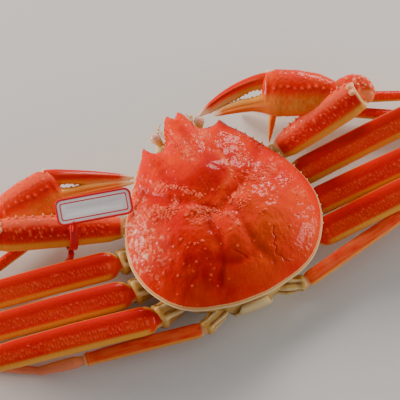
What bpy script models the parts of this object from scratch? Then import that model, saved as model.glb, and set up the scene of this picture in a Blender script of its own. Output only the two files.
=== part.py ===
"""A cooked male snow crab, life size, lying on its belly with its legs folded.

The crab faces +Y, its right side is +X and +Z is up. Sizes are in millimetres and become
metres when a mesh is made. The origin is the middle of the crab's box, on the floor.
"""

import math

import bmesh
import bpy
import numpy as np

MM = 0.001
GAP = 0.3

# Carapace: half of the width of its rim at places along Y, from the rear margin forward.
REAR_Y = -65.0
CARAPACE_CENTRE_Y = -8.0
RIM_HALF_WIDTHS = (
    (-64.5, 12.0), (-62.0, 25.0), (-58.0, 39.5), (-51.0, 51.5), (-40.0, 61.0),
    (-27.0, 67.5), (-12.0, 70.0), (3.0, 67.8), (18.0, 62.0), (32.0, 53.5),
    (46.0, 43.5), (54.0, 37.5),
)
# Corners of half of the front: orbital tooth, orbit, rostral plate, horn and notch. The orbit
# of the right eye is shallower than that of the left one.
ORBITAL_TOOTH = ((32.5, 59.9), (28.6, 66.2))
LEFT_ORBIT = ((25.8, 62.3), (19.8, 59.2), (15.2, 60.0))
RIGHT_ORBIT = ((25.8, 64.0), (20.4, 63.4), (14.6, 64.4))
ROSTRAL_PLATE = ((11.2, 69.0), (8.6, 76.0), (4.1, 82.9), (0.0, 78.0))
RIM_MIDDLE_Z = 34.0
RIM_SLOPE = 0.035
RIM_THICKNESS = 3.0
DOME_HEIGHT = 23.5
DOME_SQUARENESS = 2.3
DOME_STEEPNESS = 0.62

# Swellings of the carapace, as (x, y, height, half-width in x, half-width in y).
SWELLINGS = (
    (31.0, -20.0, 6.5, 21.0, 25.0),
    (-31.0, -20.0, 6.5, 21.0, 25.0),
    (0.0, 24.0, 6.5, 19.0, 17.0),
    (0.0, -27.0, 5.0, 12.0, 15.0),
    (0.0, -52.0, 2.0, 16.0, 7.0),
    (0.0, 56.0, 2.0, 9.0, 10.0),
)

# Thorax: half-widths of its top and of its flat underside at places along Y.
THORAX_SLICES = (
    (-63.5, 17.0, 10.0, 10.0), (-60.0, 30.0, 16.0, 5.0), (-54.0, 43.0, 22.0, 1.5),
    (-46.0, 53.0, 27.0, 0.0), (-28.0, 62.5, 33.0, 0.0), (-8.0, 65.5, 35.0, 0.0),
    (12.0, 60.5, 32.0, 0.0), (30.0, 50.5, 25.0, 0.0), (44.0, 38.0, 17.0, 3.0),
    (55.0, 25.0, 12.0, 9.0),
)

EYE_BALL = 4.0
EYE_STALK = 2.5
EYE_X = 16.8
EYE_Y = 73.2
EYE_Z = 30.0

SHELL = (0.80, 0.055, 0.012, 1.0)
SHELL_PALE = (0.80, 0.47, 0.17, 1.0)
CREAM = (0.86, 0.70, 0.48, 1.0)
EYE_BROWN = (0.16, 0.07, 0.03, 1.0)
TAG_WHITE = (0.85, 0.82, 0.80, 1.0)
TAG_RED = (0.72, 0.01, 0.02, 1.0)


def clear_scene():
    """Remove whatever the file holds at the start."""
    for old in list(bpy.data.objects):
        bpy.data.objects.remove(old)


def material(name, colour, roughness):
    """A plain glossy shell, plastic or cuticle material."""
    made = bpy.data.materials.new(name)
    made.use_nodes = True
    shader = made.node_tree.nodes["Principled BSDF"]
    shader.inputs["Base Color"].default_value = colour
    shader.inputs["Roughness"].default_value = roughness
    shader.inputs["Metallic"].default_value = 0.0
    made.diffuse_color = colour
    return made


def unit(vector):
    vector = np.asarray(vector, float)
    return vector / np.linalg.norm(vector)


def add_object(name, points, faces, finish):
    """Make one closed mesh object from points in millimetres."""
    mesh = bpy.data.meshes.new(name)
    mesh.from_pydata([tuple(point * MM) for point in points], [], faces)
    work = bmesh.new()
    work.from_mesh(mesh)
    bmesh.ops.recalc_face_normals(work, faces=work.faces)
    bmesh.ops.triangulate(work, faces=[face for face in work.faces if len(face.verts) > 3])
    work.to_mesh(mesh)
    work.free()
    mesh.materials.append(finish)
    mesh.shade_smooth()
    mesh.set_sharp_from_angle(angle=math.radians(50))
    made = bpy.data.objects.new(name, mesh)
    bpy.context.scene.collection.objects.link(made)
    return made


def loft(rings, first_pole=None, last_pole=None):
    """Join rings of equal length into one closed skin, with a pole or a flat cap at each end."""
    count = len(rings[0])
    points = [point for ring in rings for point in ring]
    faces = []
    for row in range(len(rings) - 1):
        here = row * count
        above = here + count
        for step in range(count):
            after = (step + 1) % count
            faces.append((here + step, here + after, above + after, above + step))
    for pole, base in ((first_pole, 0), (last_pole, (len(rings) - 1) * count)):
        if pole is None:
            faces.append(tuple(range(base, base + count)))
            continue
        points.append(np.asarray(pole, float))
        tip = len(points) - 1
        for step in range(count):
            faces.append((base + step, base + (step + 1) % count, tip))
    return points, faces


def bezier(start, via, end, t):
    """A point and the direction of a quadratic curve at t."""
    start, via, end = (np.asarray(p, float) for p in (start, via, end))
    point = (1 - t) ** 2 * start + 2 * t * (1 - t) * via + t ** 2 * end
    tangent = unit(2 * (1 - t) * (via - start) + 2 * t * (end - via))
    return point, tangent


def section(tangent, up, half_width, half_depth, sides, power):
    """Offsets of a superellipse across a tangent, wide along the side axis."""
    side = unit(np.cross(tangent, up))
    rise = np.cross(side, tangent)
    offsets = []
    for step in range(sides):
        angle = 2 * math.pi * (step + 0.5) / sides
        across = math.copysign(abs(math.cos(angle)) ** (2 / power), math.cos(angle))
        above = math.copysign(abs(math.sin(angle)) ** (2 / power), math.sin(angle))
        offsets.append(side * across * half_width + rise * above * half_depth)
    return offsets


# Shapes of leg segments: (place along the barrel, share of the full width and depth).
MERUS_SHAPE = ((0.0, 0.78), (0.04, 0.92), (0.14, 1.0), (0.45, 1.0), (0.8, 0.94), (0.97, 0.84),
               (1.0, 0.74))
CARPUS_SHAPE = ((0.0, 0.74), (0.35, 0.92), (0.72, 1.0), (0.94, 0.92), (1.0, 0.8))
REAR_CARPUS_SHAPE = ((0.0, 0.8), (0.2, 1.1), (0.6, 1.0), (0.94, 0.84), (1.0, 0.8))
PROPODUS_SHAPE = ((0.0, 0.9), (0.25, 1.0), (0.7, 0.94), (0.97, 0.86), (1.0, 0.75))
HIP_SHAPE = ((0.0, 0.9), (0.5, 1.0), (0.92, 1.0), (1.0, 0.9))
DACTYL_SHAPE = ((0.0, 0.9), (0.2, 1.0), (0.55, 0.8), (0.85, 0.42), (0.97, 0.16))


def limb_mesh(start, via, end, size, up, ball, shape, sides, power=2.4, grow=0.0):
    """One segment: a ball at its start, a barrel, and a blunt end or the tip of a dactyl."""
    half_width, half_depth = size
    start = np.asarray(start, float)
    end = np.asarray(end, float)
    length = np.linalg.norm(end - start)
    first_tangent = bezier(start, via, end, 0.0)[1]
    rings = []
    for degrees in (42, 78):
        angle = math.radians(degrees)
        centre = start - first_tangent * (ball + grow) * math.cos(angle)
        reach = (ball + grow) * math.sin(angle)
        ring = section(first_tangent, up, reach, reach, sides, 2)
        rings.append([centre + offset for offset in ring])
    barrel_start = 0.35 * ball / length
    for place, share in shape:
        t = barrel_start + (1.0 - barrel_start) * place
        centre, tangent = bezier(start, via, end, t)
        ring = section(tangent, up, half_width * share + grow, half_depth * share + grow,
                       sides, power)
        rings.append([centre + offset for offset in ring])
    last_tangent = bezier(start, via, end, 1.0)[1]
    first_pole = start - first_tangent * (ball + grow)
    return loft(rings, first_pole, end + last_tangent * (0.3 + grow))


def ball_mesh(centre, radius, sides=12, rows=6):
    """A round ball, used for eyes, joints and the hollows cut for them."""
    centre = np.asarray(centre, float)
    rings = []
    for row in range(1, rows):
        angle = math.pi * row / rows
        rings.append([centre + radius * np.array((
            math.sin(angle) * math.cos(2 * math.pi * step / sides),
            math.sin(angle) * math.sin(2 * math.pi * step / sides),
            math.cos(angle))) for step in range(sides)])
    return loft(rings, centre + (0, 0, radius), centre - (0, 0, radius))


def spine_mesh(root, direction, length, radius, sides=5, sink=0.45):
    """A tapered spine whose root is sunk in the shell that it grows from."""
    direction = unit(direction)
    helper = (0.0, 0.0, 1.0) if abs(direction[2]) < 0.9 else (1.0, 0.0, 0.0)
    root = np.asarray(root, float)
    low = root - direction * length * sink
    middle = root + direction * length * 0.45
    rings = [
        [low + offset for offset in section(direction, helper, radius, radius, sides, 2)],
        [middle + offset for offset in
         section(direction, helper, radius * 0.62, radius * 0.62, sides, 2)],
    ]
    return loft(rings, None, root + direction * length)


def is_closed(mesh):
    """True where every edge of the mesh joins two faces."""
    work = bmesh.new()
    work.from_mesh(mesh)
    closed = len(work.faces) > 3 and all(edge.is_manifold for edge in work.edges)
    work.free()
    return closed


def merge(name, base, additions, cutters, finish):
    """Join the pieces in additions to base, cut the cutters away and keep the largest surface."""
    target = add_object(name, *base, finish)
    for kind, pieces in (("UNION", additions), ("DIFFERENCE", cutters)):
        if not pieces:
            continue
        group = bpy.data.collections.new(name + "_pieces")
        bpy.context.scene.collection.children.link(group)
        for number, piece in enumerate(pieces):
            tool = add_object(f"{name}_piece_{number}", *piece, finish)
            bpy.context.scene.collection.objects.unlink(tool)
            group.objects.link(tool)
        change = target.modifiers.new(kind.title(), "BOOLEAN")
        change.operation = kind
        change.operand_type = "COLLECTION"
        change.collection = group
        for solver in ("EXACT", "MANIFOLD"):
            change.solver = solver
            graph = bpy.context.evaluated_depsgraph_get()
            result = keep_largest(bpy.data.meshes.new_from_object(target.evaluated_get(graph)))
            if is_closed(result):
                break
        target.modifiers.clear()
        target.data = result
        for tool in list(group.objects):
            bpy.data.objects.remove(tool)
        bpy.data.collections.remove(group)
    return target


def keep_largest(mesh):
    """Drop every loose surface but the one with the most corners, and clean the seams."""
    work = bmesh.new()
    work.from_mesh(mesh)
    bmesh.ops.remove_doubles(work, verts=work.verts, dist=0.000001)
    bmesh.ops.dissolve_degenerate(work, edges=work.edges, dist=0.000001)
    work.verts.ensure_lookup_table()
    left = set(work.verts)
    islands = []
    while left:
        island = set()
        stack = [left.pop()]
        while stack:
            vertex = stack.pop()
            island.add(vertex)
            for edge in vertex.link_edges:
                other = edge.other_vert(vertex)
                if other in left:
                    left.remove(other)
                    stack.append(other)
        islands.append(island)
    islands.sort(key=len)
    scraps = [vertex for island in islands[:-1] for vertex in island]
    bmesh.ops.delete(work, geom=scraps, context="VERTS")
    bmesh.ops.triangulate(work, faces=work.faces)
    work.to_mesh(mesh)
    work.free()
    return mesh


def rim_z(y):
    """Height of the upper edge of the carapace's rim."""
    return RIM_MIDDLE_Z + RIM_SLOPE * (y + 12.0)


def rim_outline(count):
    """Points (x, y) around the rim from the middle of the front: its corners, then the sides."""
    front = list(reversed(ORBITAL_TOOTH + RIGHT_ORBIT + ROSTRAL_PLATE))
    right = [front[-1]] + [(half, y) for y, half in reversed(RIM_HALF_WIDTHS)]
    corners = np.array(right + [(0.0, REAR_Y)] + [(-x, y) for x, y in reversed(right)], float)
    fine = []
    for index in range(len(corners) - 1):
        before, here, after, later = (corners[np.clip(index + k, 0, len(corners) - 1)]
                                      for k in (-1, 0, 1, 2))
        for step in range(12):
            t = step / 12
            fine.append(0.5 * (2 * here + (after - before) * t
                               + (2 * before - 5 * here + 4 * after - later) * t ** 2
                               + (3 * here - before - 3 * after + later) * t ** 3))
    fine = np.array(fine + [corners[-1]])
    run = np.concatenate([[0], np.cumsum(np.linalg.norm(np.diff(fine, axis=0), axis=1))])
    places = np.linspace(0, run[-1], count - 2 * len(front) + 3)[1:-1]
    side = np.stack([np.interp(places, run, fine[:, axis]) for axis in (0, 1)], axis=1)
    left_front = [(-x, y) for x, y in ORBITAL_TOOTH + LEFT_ORBIT + ROSTRAL_PLATE[:-1]]
    return np.array(front + [tuple(point) for point in side] + left_front)


OUTLINE = rim_outline(240)


def rim_share(x, y):
    """How far (x, y) lies from the carapace's centre to its rim: 0 to 1."""
    offset = np.array((x, y - CARAPACE_CENTRE_Y))
    reach = np.linalg.norm(offset)
    if reach < 1e-6:
        return 0.0
    rays = OUTLINE - (0.0, CARAPACE_CENTRE_Y)
    angles = np.arctan2(rays[:, 0], rays[:, 1])
    order = np.argsort(angles)
    radius = np.interp(math.atan2(offset[0], offset[1]), angles[order],
                       np.linalg.norm(rays, axis=1)[order], period=2 * math.pi)
    return min(reach / radius, 1.0)


def dome_z(x, y, share=None):
    """Height of the carapace's upper surface."""
    share = rim_share(x, y) if share is None else share
    rise = max(0.0, 1.0 - share ** DOME_SQUARENESS) ** DOME_STEEPNESS
    height = rim_z(y) + DOME_HEIGHT * rise
    fade = min(1.0, (1.0 - share) * 5.0)
    for cx, cy, top, sx, sy in SWELLINGS:
        height += fade * top * math.exp(-((x - cx) / sx) ** 2 - ((y - cy) / sy) ** 2)
    return height


def dome_normal(x, y):
    """Direction that the carapace's surface faces."""
    step = 0.5
    slope_x = (dome_z(x + step, y) - dome_z(x - step, y)) / (2 * step)
    slope_y = (dome_z(x, y + step) - dome_z(x, y - step)) / (2 * step)
    return unit((-slope_x, -slope_y, 1.0))


def carapace_spines():
    """Teeth along the side margins and rows of tubercles."""
    spines = []
    for side in (1, -1):
        # Teeth along the front half of the side margin.
        for step in range(9):
            y = 48.0 - 8.0 * step
            half = np.interp(y, [p[0] for p in RIM_HALF_WIDTHS], [p[1] for p in RIM_HALF_WIDTHS])
            x = side * half * 0.985
            length = 2.6 - 0.12 * step
            spines.append(spine_mesh((x, y, rim_z(y) + 0.6), (side, 0.45, 0.5), length, 1.4, 4))
        # Tubercles over the branchial region, in two bowed rows.
        for row, (offset, count) in enumerate(((22.0, 7), (40.0, 7))):
            for step in range(count):
                y = 22.0 - 11.5 * step - 3.0 * row
                x = side * (offset + 7.0 * math.sin(math.pi * (step + 0.5) / count))
                height = dome_z(x, y)
                spines.append(spine_mesh((x, y, height), dome_normal(x, y), 1.5, 1.9, 4, 0.9))
    # Tubercles along the middle: gastric, cardiac and intestinal.
    for y in (44.0, 34.0, 22.0, 10.0, -22.0, -34.0, -50.0):
        spines.append(spine_mesh((0.0, y, dome_z(0.0, y)), dome_normal(0.0, y), 1.7, 2.1, 5, 0.9))
    return spines


def make_carapace(finish):
    """The domed shell, closed underneath by the plane that lies on the thorax."""
    outline = rim_outline(58)
    centre = np.array((0.0, CARAPACE_CENTRE_Y))
    rings = []
    for share in (0.16, 0.34, 0.5, 0.64, 0.76, 0.86, 0.93, 0.98, 1.0):
        flat = centre + (outline - centre) * share
        rings.append([np.array((x, y, dome_z(x, y, share))) for x, y in flat])
    rings.append([np.array((x, y, rim_z(y) - RIM_THICKNESS)) for x, y in outline])
    top = np.array((0.0, CARAPACE_CENTRE_Y, dome_z(0.0, CARAPACE_CENTRE_Y, 0.0)))
    bottom = np.array((0.0, CARAPACE_CENTRE_Y, rim_z(CARAPACE_CENTRE_Y) - RIM_THICKNESS))
    return merge("carapace", loft(rings, top, bottom), carapace_spines(), [], finish)


def thorax_top(y):
    return rim_z(y) - RIM_THICKNESS - GAP


# Abdomen: a plate under the thorax that hooks over its rear, as (y, z, half-width).
ABDOMEN_PATH = (
    (-65.8, 26.0, 10.0), (-66.3, 18.0, 12.0), (-64.0, 9.5, 14.5), (-58.0, 3.6, 16.5),
    (-49.0, 1.9, 17.0), (-34.0, 1.9, 13.0), (-18.0, 1.9, 9.0), (-4.0, 1.9, 6.0),
)
ABDOMEN_HALF_DEPTH = 1.9


def abdomen_mesh(grow):
    """The narrow tail flap, grown by a gap where it is used to cut its groove."""
    rings = []
    path = [np.array((0.0, y, z)) for y, z, _ in ABDOMEN_PATH]
    depth = ABDOMEN_HALF_DEPTH + grow
    for index, (_, _, half) in enumerate(ABDOMEN_PATH):
        before = path[max(index - 1, 0)]
        after = path[min(index + 1, len(path) - 1)]
        across = np.cross(unit(after - before), (1.0, 0.0, 0.0))
        stretch = 0.0
        if grow and index in (0, len(path) - 1):
            stretch = grow if index else -grow
        centre = path[index] + unit(after - before) * stretch
        half = half + grow
        bevel = 0.82
        rings.append([
            centre + np.array((-half * bevel, 0, 0)) - across * depth,
            centre + np.array((half * bevel, 0, 0)) - across * depth,
            centre + np.array((half, 0, 0)),
            centre + np.array((half * bevel, 0, 0)) + across * depth,
            centre + np.array((-half * bevel, 0, 0)) + across * depth,
            centre + np.array((-half, 0, 0)),
        ])
    return loft(rings)


def make_thorax(sockets, finish):
    """The underside of the body, flat on the floor, hollowed for all that grows from it."""
    rings = []
    for y, top_half, floor_half, floor_z in THORAX_SLICES:
        top = thorax_top(y)
        wall = [(top_half, 1.0), (0.97 * top_half, 0.8), (0.86 * top_half, 0.5),
                (0.5 * (0.7 * top_half + floor_half), 0.14), (floor_half, 0.0)]
        right = [np.array((half, y, floor_z + level * (top - floor_z))) for half, level in wall]
        left = [point * (-1.0, 1.0, 1.0) for point in reversed(right)]
        rings.append(right + left)
    return merge("thorax", loft(rings), [], sockets + [abdomen_mesh(GAP)], finish)


def joint_points(text_points):
    return [np.asarray(point, float) for point in text_points]


# Joint places of each leg: hip, merus start, knee, knee bend, carpus end, propodus end, tip.
LEG_JOINTS = {
    "leg1_left": ((-49, 0, 18), (-75, -1, 22), (-206, 9, 38), (-217, 24, 18), (-178, 27, 11),
                  (-82, 54, 11), (-54, 62, 1.6)),
    "leg2_left": ((-50, -22, 18), (-75, -25, 22), (-204, -14, 38), (-215, -9, 8), (-176, -5.5, 9.5),
                  (-86, -17, 8), (-54, -19, 1.6)),
    "leg3_left": ((-45, -42, 18), (-66, -49, 22), (-191, -37, 37), (-202, -32, 16.5),
                  (-163, -29.5, 17), (-80, -40.5, 8), (-52, -41, 1.6)),
    "leg4_left": ((-20, -58, 18), (-38, -67.5, 17), (-123, -54, 11), (-140, -51, 10.5),
                  (-154, -48, 7), (-192, -27, 3.6), (-212, -17, 1.2)),
    "leg1_right": ((43, 9, 16), (61, 11.5, 20), (203, 17, 42), (211, 33, 22), (166, 40, 12),
                   (73, 67, 31), (61, 49, 1.6)),
    "leg2_right": ((44, -13.5, 16), (61, -13, 20), (200, -12, 39), (208, -3, 10), (167, 22, 10),
                   (80, 68, 10), (54.6, 80, 1.6)),
    "leg3_right": ((41, -36, 16.5), (58, -36, 20), (193, -31, 39), (204, -26, 6), (166, -21, 10),
                   (80, -29, 8), (52, -31, 1.6)),
    "leg4_right": ((20, -60, 20), (38, -64, 20), (123, -44.5, 21), (140, -41, 18),
                   (153, -38, 13), (196, -31, 8), (223, -27, 1.2)),
}
LEG_UP_TILT = -0.42
LEG_BOW = 5.0

# Sizes of walking legs: half-widths and half-depths of their segments, and joint radii.
BIG_LEG = {"hip": (7.6, 7.0), "merus": (10.3, 7.0), "carpus": (7.2, 5.8), "propodus": (4.0, 5.4),
           "dactyl": (2.9, 3.4), "joints": (6.8, 6.4, 6.0, 4.6, 3.2)}
REAR_LEG = {"hip": (5.0, 4.8), "merus": (5.4, 4.5), "carpus": (4.4, 3.8), "propodus": (3.0, 3.4),
            "dactyl": (2.0, 2.4), "joints": (4.6, 4.0, 3.4, 3.0, 2.2)}


def make_leg(name, joints, sizes, shell, pale):
    """Five segments of a walking leg; each is hollowed for the ball of the next."""
    hip, start, knee, bend, carpus_end, propodus_end, tip = joint_points(joints)
    balls = sizes["joints"]
    up = unit((0.0, LEG_UP_TILT, 1.0))
    bow = np.array((0.0, 0.0, LEG_BOW if sizes is BIG_LEG else 2.0))
    bend_axis = unit(np.cross(bend - knee, carpus_end - bend))
    carpus_shape = CARPUS_SHAPE if sizes is BIG_LEG else REAR_CARPUS_SHAPE
    plan = (
        ("hip", hip, (hip + start) / 2, start, up, HIP_SHAPE, pale),
        ("merus", start, (start + knee) / 2 + bow, knee, up, MERUS_SHAPE, shell),
        ("carpus", knee, bend, carpus_end, bend_axis, carpus_shape, shell),
        ("propodus", carpus_end, (carpus_end + propodus_end) / 2, propodus_end, up,
         PROPODUS_SHAPE, shell),
        ("dactyl", propodus_end, (propodus_end + tip) / 2 + (0.0, 0.0, 1.5), tip, up,
         DACTYL_SHAPE, shell),
    )

    def segment(number, grow=0.0):
        part, first, via, last, above, shape, _ = plan[number]
        return limb_mesh(first, via, last, sizes[part], above, balls[number], shape, 8, grow=grow)

    for number, (part, *_, finish) in enumerate(plan):
        cutters = [segment(number + 1, GAP)] if number + 1 < len(plan) else []
        merge(f"{name}_{part}", segment(number), [], cutters, finish)
    return [segment(0, GAP), segment(1, GAP)]


# Claws. The palm lies flat with its outer face up: these two directions span its face.
CLAW_RISE = unit((0.363, 0.856, 0.367))
CLAW_MERUS = (12.0, 9.2)
CLAW_HIP = (6.8, 6.4)
CLAW_CARPUS = (10.6, 9.8)
PALM_SHAPE = ((0.0, 7.0, 6.2), (4.0, 10.0, 8.0), (14.0, 14.0, 9.6), (28.0, 16.2, 10.2),
              (44.0, 16.6, 9.6), (51.0, 13.5, 7.6))
FINGER_SHAPE = ((0.0, 5.6, 5.2), (0.1, 5.6, 5.4), (0.4, 4.4, 4.5), (0.65, 3.4, 3.5),
                (0.88, 2.2, 2.2), (0.98, 1.2, 1.1))
THUMB_SHAPE = ((0.0, 9.0, 6.2), (0.12, 7.6, 5.9), (0.34, 4.3, 4.9), (0.65, 3.1, 3.6),
               (0.88, 2.1, 2.2), (0.98, 1.2, 1.1))
CLAW_JOINTS = {
    "claw_left": {
        "hip": (-44, 19, 17.5), "start": (-62, 22.5, 21), "elbow": (-149, 45.5, 38.5),
        "carpus": ((-157.6, 45.5, 40), (-172, 54.5, 34.5), (-148, 61.6, 25.6)),
        "palm": (-146.1, 60.1, 27.1), "knuckle": (-97.4, 65.2, 29.9),
        "finger": ((49, 9.5), (76, -3), (103, -19.5)),
        "thumb": ((42, -5.5), (68, -10.5), (102, -22.5)),
    },
    "claw_right": {
        "hip": (42, 24, 18.5), "start": (60.5, 32.5, 25), "elbow": (123.4, 36.6, 60),
        "carpus": ((126.5, 36, 53), (131, 47, 51.5), (111, 46.8, 52)),
        "palm": (111.3, 45.6, 52.3), "knuckle": (64.3, 67.0, 51.2),
        "finger": ((49, 9), (76, 4.5), (98, -17.5)),
        "thumb": ((43, -6.5), (70, -9.5), (87, -16.5)),
    },
}


class ClawPlane:
    """Turns places on the claw's flat face, along and across the palm, into points."""

    def __init__(self, palm, knuckle):
        self.origin = np.asarray(palm, float)
        self.along = unit(np.asarray(knuckle, float) - self.origin)
        self.across = unit(CLAW_RISE - self.along * (CLAW_RISE @ self.along))
        self.out = unit(np.cross(self.across, self.along))
        if self.out[2] < 0:
            self.out = -self.out

    def point(self, place):
        return self.origin + self.along * place[0] + self.across * place[1]

    def ring(self, centre, tangent, half_height, half_depth, sides, power=2.3):
        rise = unit(np.cross(self.out, tangent))
        if rise @ self.across < 0:
            rise = -rise
        ring = []
        for step in range(sides):
            angle = 2 * math.pi * (step + 0.5) / sides
            high = math.copysign(abs(math.cos(angle)) ** (2 / power), math.cos(angle))
            deep = math.copysign(abs(math.sin(angle)) ** (2 / power), math.sin(angle))
            ring.append(centre + rise * high * half_height + self.out * deep * half_depth)
        return ring


def finger_mesh(plane, curve, shape, sides, grow=0.0):
    """One tapering finger of a claw along a curve in the claw's plane."""
    points = [plane.point(place) for place in curve]
    rings = []
    for place, half_height, half_depth in shape:
        centre, tangent = bezier(*points, place)
        rings.append(plane.ring(centre, tangent, half_height + grow, half_depth + grow, sides))
    first = points[0] - bezier(*points, 0.0)[1] * (3.2 + grow)
    last = points[2] + bezier(*points, 1.0)[1] * grow
    return loft(rings, first, last)


def palm_mesh(plane, sides, grow=0.0):
    """The swollen hand of a claw."""
    rings = []
    for place, half_height, half_depth in PALM_SHAPE:
        centre = plane.point((place, 0.0))
        rings.append(plane.ring(centre, plane.along, half_height + grow,
                                half_depth + grow, sides))
    return loft(rings, plane.point((-3.5 - grow, 0.0)), plane.point((54.0 + grow, 0.0)))


def finger_teeth(plane, curve, shape, inward, count):
    """Low teeth along a finger's biting edge."""
    points = [plane.point(place) for place in curve]
    teeth = []
    for step in range(count):
        place = 0.30 + 0.56 * step / (count - 1)
        centre, tangent = bezier(*points, place)
        edge = unit(np.cross(plane.out, tangent))
        if (edge @ plane.across) * inward < 0:
            edge = -edge
        depth = np.interp(place, [row[0] for row in shape], [row[1] for row in shape])
        teeth.append(spine_mesh(centre + edge * (depth - 0.2), edge, 1.0 - 0.4 * place, 1.2, 4, 0.9))
    return teeth


def palm_tubercles(plane):
    """Two rows of tubercles on the palm's upper half and a few on its forward edge."""
    bumps = []
    for height, count in ((12.0, 6), (6.5, 6)):
        for step in range(count):
            along = 9.0 + 7.2 * step
            half_height = np.interp(along, [row[0] for row in PALM_SHAPE],
                                    [row[1] for row in PALM_SHAPE])
            half_depth = np.interp(along, [row[0] for row in PALM_SHAPE],
                                   [row[2] for row in PALM_SHAPE])
            share = min(0.97, height / half_height)
            deep = half_depth * (1 - share ** 2.3) ** (1 / 2.3)
            root = plane.point((along, share * half_height)) + plane.out * deep
            lean = unit(plane.across * share + plane.out * (1.05 - share))
            bumps.append(spine_mesh(root, lean, 2.0, 1.5, 4, 0.8))
    return bumps


def row_of_spines(first, last, direction, count, length, radius):
    """Spines in a straight row, as on the edge of a claw's merus."""
    first = np.asarray(first, float)
    last = np.asarray(last, float)
    return [spine_mesh(first + (last - first) * (step + 0.5) / count, direction, length, radius,
                       4, 0.9) for step in range(count)]


def tube_mesh(start, via, end, size, up, sides, shape, power=2.4, grow=0.0):
    """A closed round-ended tube; a grown copy of it cuts its bed in a neighbour."""
    start = np.asarray(start, float)
    end = np.asarray(end, float)
    rings = []
    for place, share in shape:
        centre, tangent = bezier(start, via, end, place)
        ring = section(tangent, up, size[0] * share + grow, size[1] * share + grow, sides, power)
        rings.append([centre + offset for offset in ring])
    first = start - bezier(start, via, end, 0.0)[1] * (0.35 * size[1] + grow)
    last = end + bezier(start, via, end, 1.0)[1] * (0.35 * size[1] + grow)
    return loft(rings, first, last)


BLOCK_SHAPE = ((0.0, 0.72), (0.12, 0.9), (0.4, 1.0), (0.7, 1.0), (0.9, 0.86), (1.0, 0.66))
CLAW_MERUS_SHAPE = ((0.0, 0.62), (0.1, 0.8), (0.4, 0.94), (0.75, 1.0), (0.94, 0.97), (1.0, 0.78))


def claw_merus_mesh(joints, ball, grow=0.0):
    """The claw's long arm segment: a ball at its start and a rounded end."""
    start = np.asarray(joints["start"], float)
    end = np.asarray(joints["elbow"], float)
    via = (start + end) / 2 + (0.0, 0.0, 3.0)
    first = bezier(start, via, end, 0.0)[1]
    up = (-0.143, -0.337, 0.93)
    rings = []
    for degrees in (40, 72, 100):
        angle = math.radians(degrees)
        centre = start - first * ball * math.cos(angle)
        reach = ball * math.sin(angle) + grow
        rings.append([centre + offset for offset in section(first, up, reach, reach, 10, 2)])
    for place, share in CLAW_MERUS_SHAPE:
        centre, tangent = bezier(start, via, end, 0.06 + 0.94 * place)
        ring = section(tangent, up, CLAW_MERUS[0] * share + grow,
                       CLAW_MERUS[1] * share + grow, 10, 2.6)
        rings.append([centre + offset for offset in ring])
    last = end + bezier(start, via, end, 1.0)[1] * (3.5 + grow)
    return loft(rings, start - first * (ball + grow), last)


def make_claw(name, joints, shell, pale):
    """Hip, merus, carpus, palm with its fixed finger, and the movable finger."""
    plane = ClawPlane(joints["palm"], joints["knuckle"])
    hip, start, elbow = joint_points((joints["hip"], joints["start"], joints["elbow"]))
    ball = 6.2
    hip_line = (hip, (hip + start) / 2, start, CLAW_HIP, (0, 0, 1), 6.4, HIP_SHAPE, 8)
    merge(f"{name}_hip", limb_mesh(*hip_line), [], [claw_merus_mesh(joints, ball, GAP)], pale)
    merus = claw_merus_mesh(joints, ball)
    reach = elbow - start
    ahead = unit(np.cross(plane.out, reach))
    if ahead[1] < 0:
        ahead = -ahead
    edge = ahead * CLAW_MERUS[0] * 0.8 + plane.out * CLAW_MERUS[1] * 0.5 + (0.0, 0.0, 1.2)
    row = (start + reach * 0.22 + edge, start + reach * 0.80 + edge, unit(ahead + plane.out), 7)
    merge(f"{name}_merus", merus, row_of_spines(*row, 2.6, 1.6), [], shell)
    merus_bed = [claw_merus_mesh(joints, ball, GAP)] + row_of_spines(*row, 3.4, 2.2)

    block = tube_mesh(*joints["carpus"], CLAW_CARPUS, plane.out, 10, BLOCK_SHAPE)
    middle = bezier(*joints["carpus"], 0.45)[0]
    outward = unit(middle - (elbow + plane.point((10.0, 0.0))) / 2)
    bumps = []
    for lean in (-0.6, 0.0, 0.6):
        direction = unit(plane.out + outward * 0.7 + plane.along * lean)
        root = middle + direction * 9.3
        bumps.append(spine_mesh(root, direction, 3.0, 2.0, 4, 0.9))
    merge(f"{name}_carpus", block, bumps, [merus_bed[0], palm_mesh(plane, 12, GAP)], shell)

    thumb = finger_mesh(plane, joints["thumb"], THUMB_SHAPE, 8)
    teeth = finger_teeth(plane, joints["thumb"], THUMB_SHAPE, 1, 6)
    finger_bed = finger_mesh(plane, joints["finger"], FINGER_SHAPE, 8, GAP)
    merge(f"{name}_palm", palm_mesh(plane, 12), [thumb] + teeth + palm_tubercles(plane),
          [finger_bed] + merus_bed, shell)
    finger = finger_mesh(plane, joints["finger"], FINGER_SHAPE, 8)
    teeth = finger_teeth(plane, joints["finger"], FINGER_SHAPE, -1, 6)
    merge(f"{name}_finger", finger, teeth, [], shell)
    return limb_mesh(*hip_line, grow=GAP)


def make_eye(name, side, finish):
    """A round eye on a short stalk that grows from the body under the rostrum."""
    root = np.array((side * 10.5, 56.0, 27.0))
    eye = np.array((side * EYE_X, EYE_Y, EYE_Z))
    direction = unit(eye - root)
    up = (0.0, 0.0, 1.0)
    reach = np.linalg.norm(eye - root)
    rings = []
    for place, radius in ((0.12, EYE_STALK), (0.6, EYE_STALK * 0.9), (0.76, EYE_STALK),
                          (0.86, EYE_BALL * 0.86), (1.0, EYE_BALL), (1.14, EYE_BALL * 0.84),
                          (1.23, EYE_BALL * 0.45)):
        centre = root + direction * reach * place
        rings.append([centre + offset for offset in section(direction, up, radius, radius, 10, 2)])
    points, faces = loft(rings, root, eye + direction * EYE_BALL)
    add_object(name, points, faces, finish)
    return root


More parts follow.
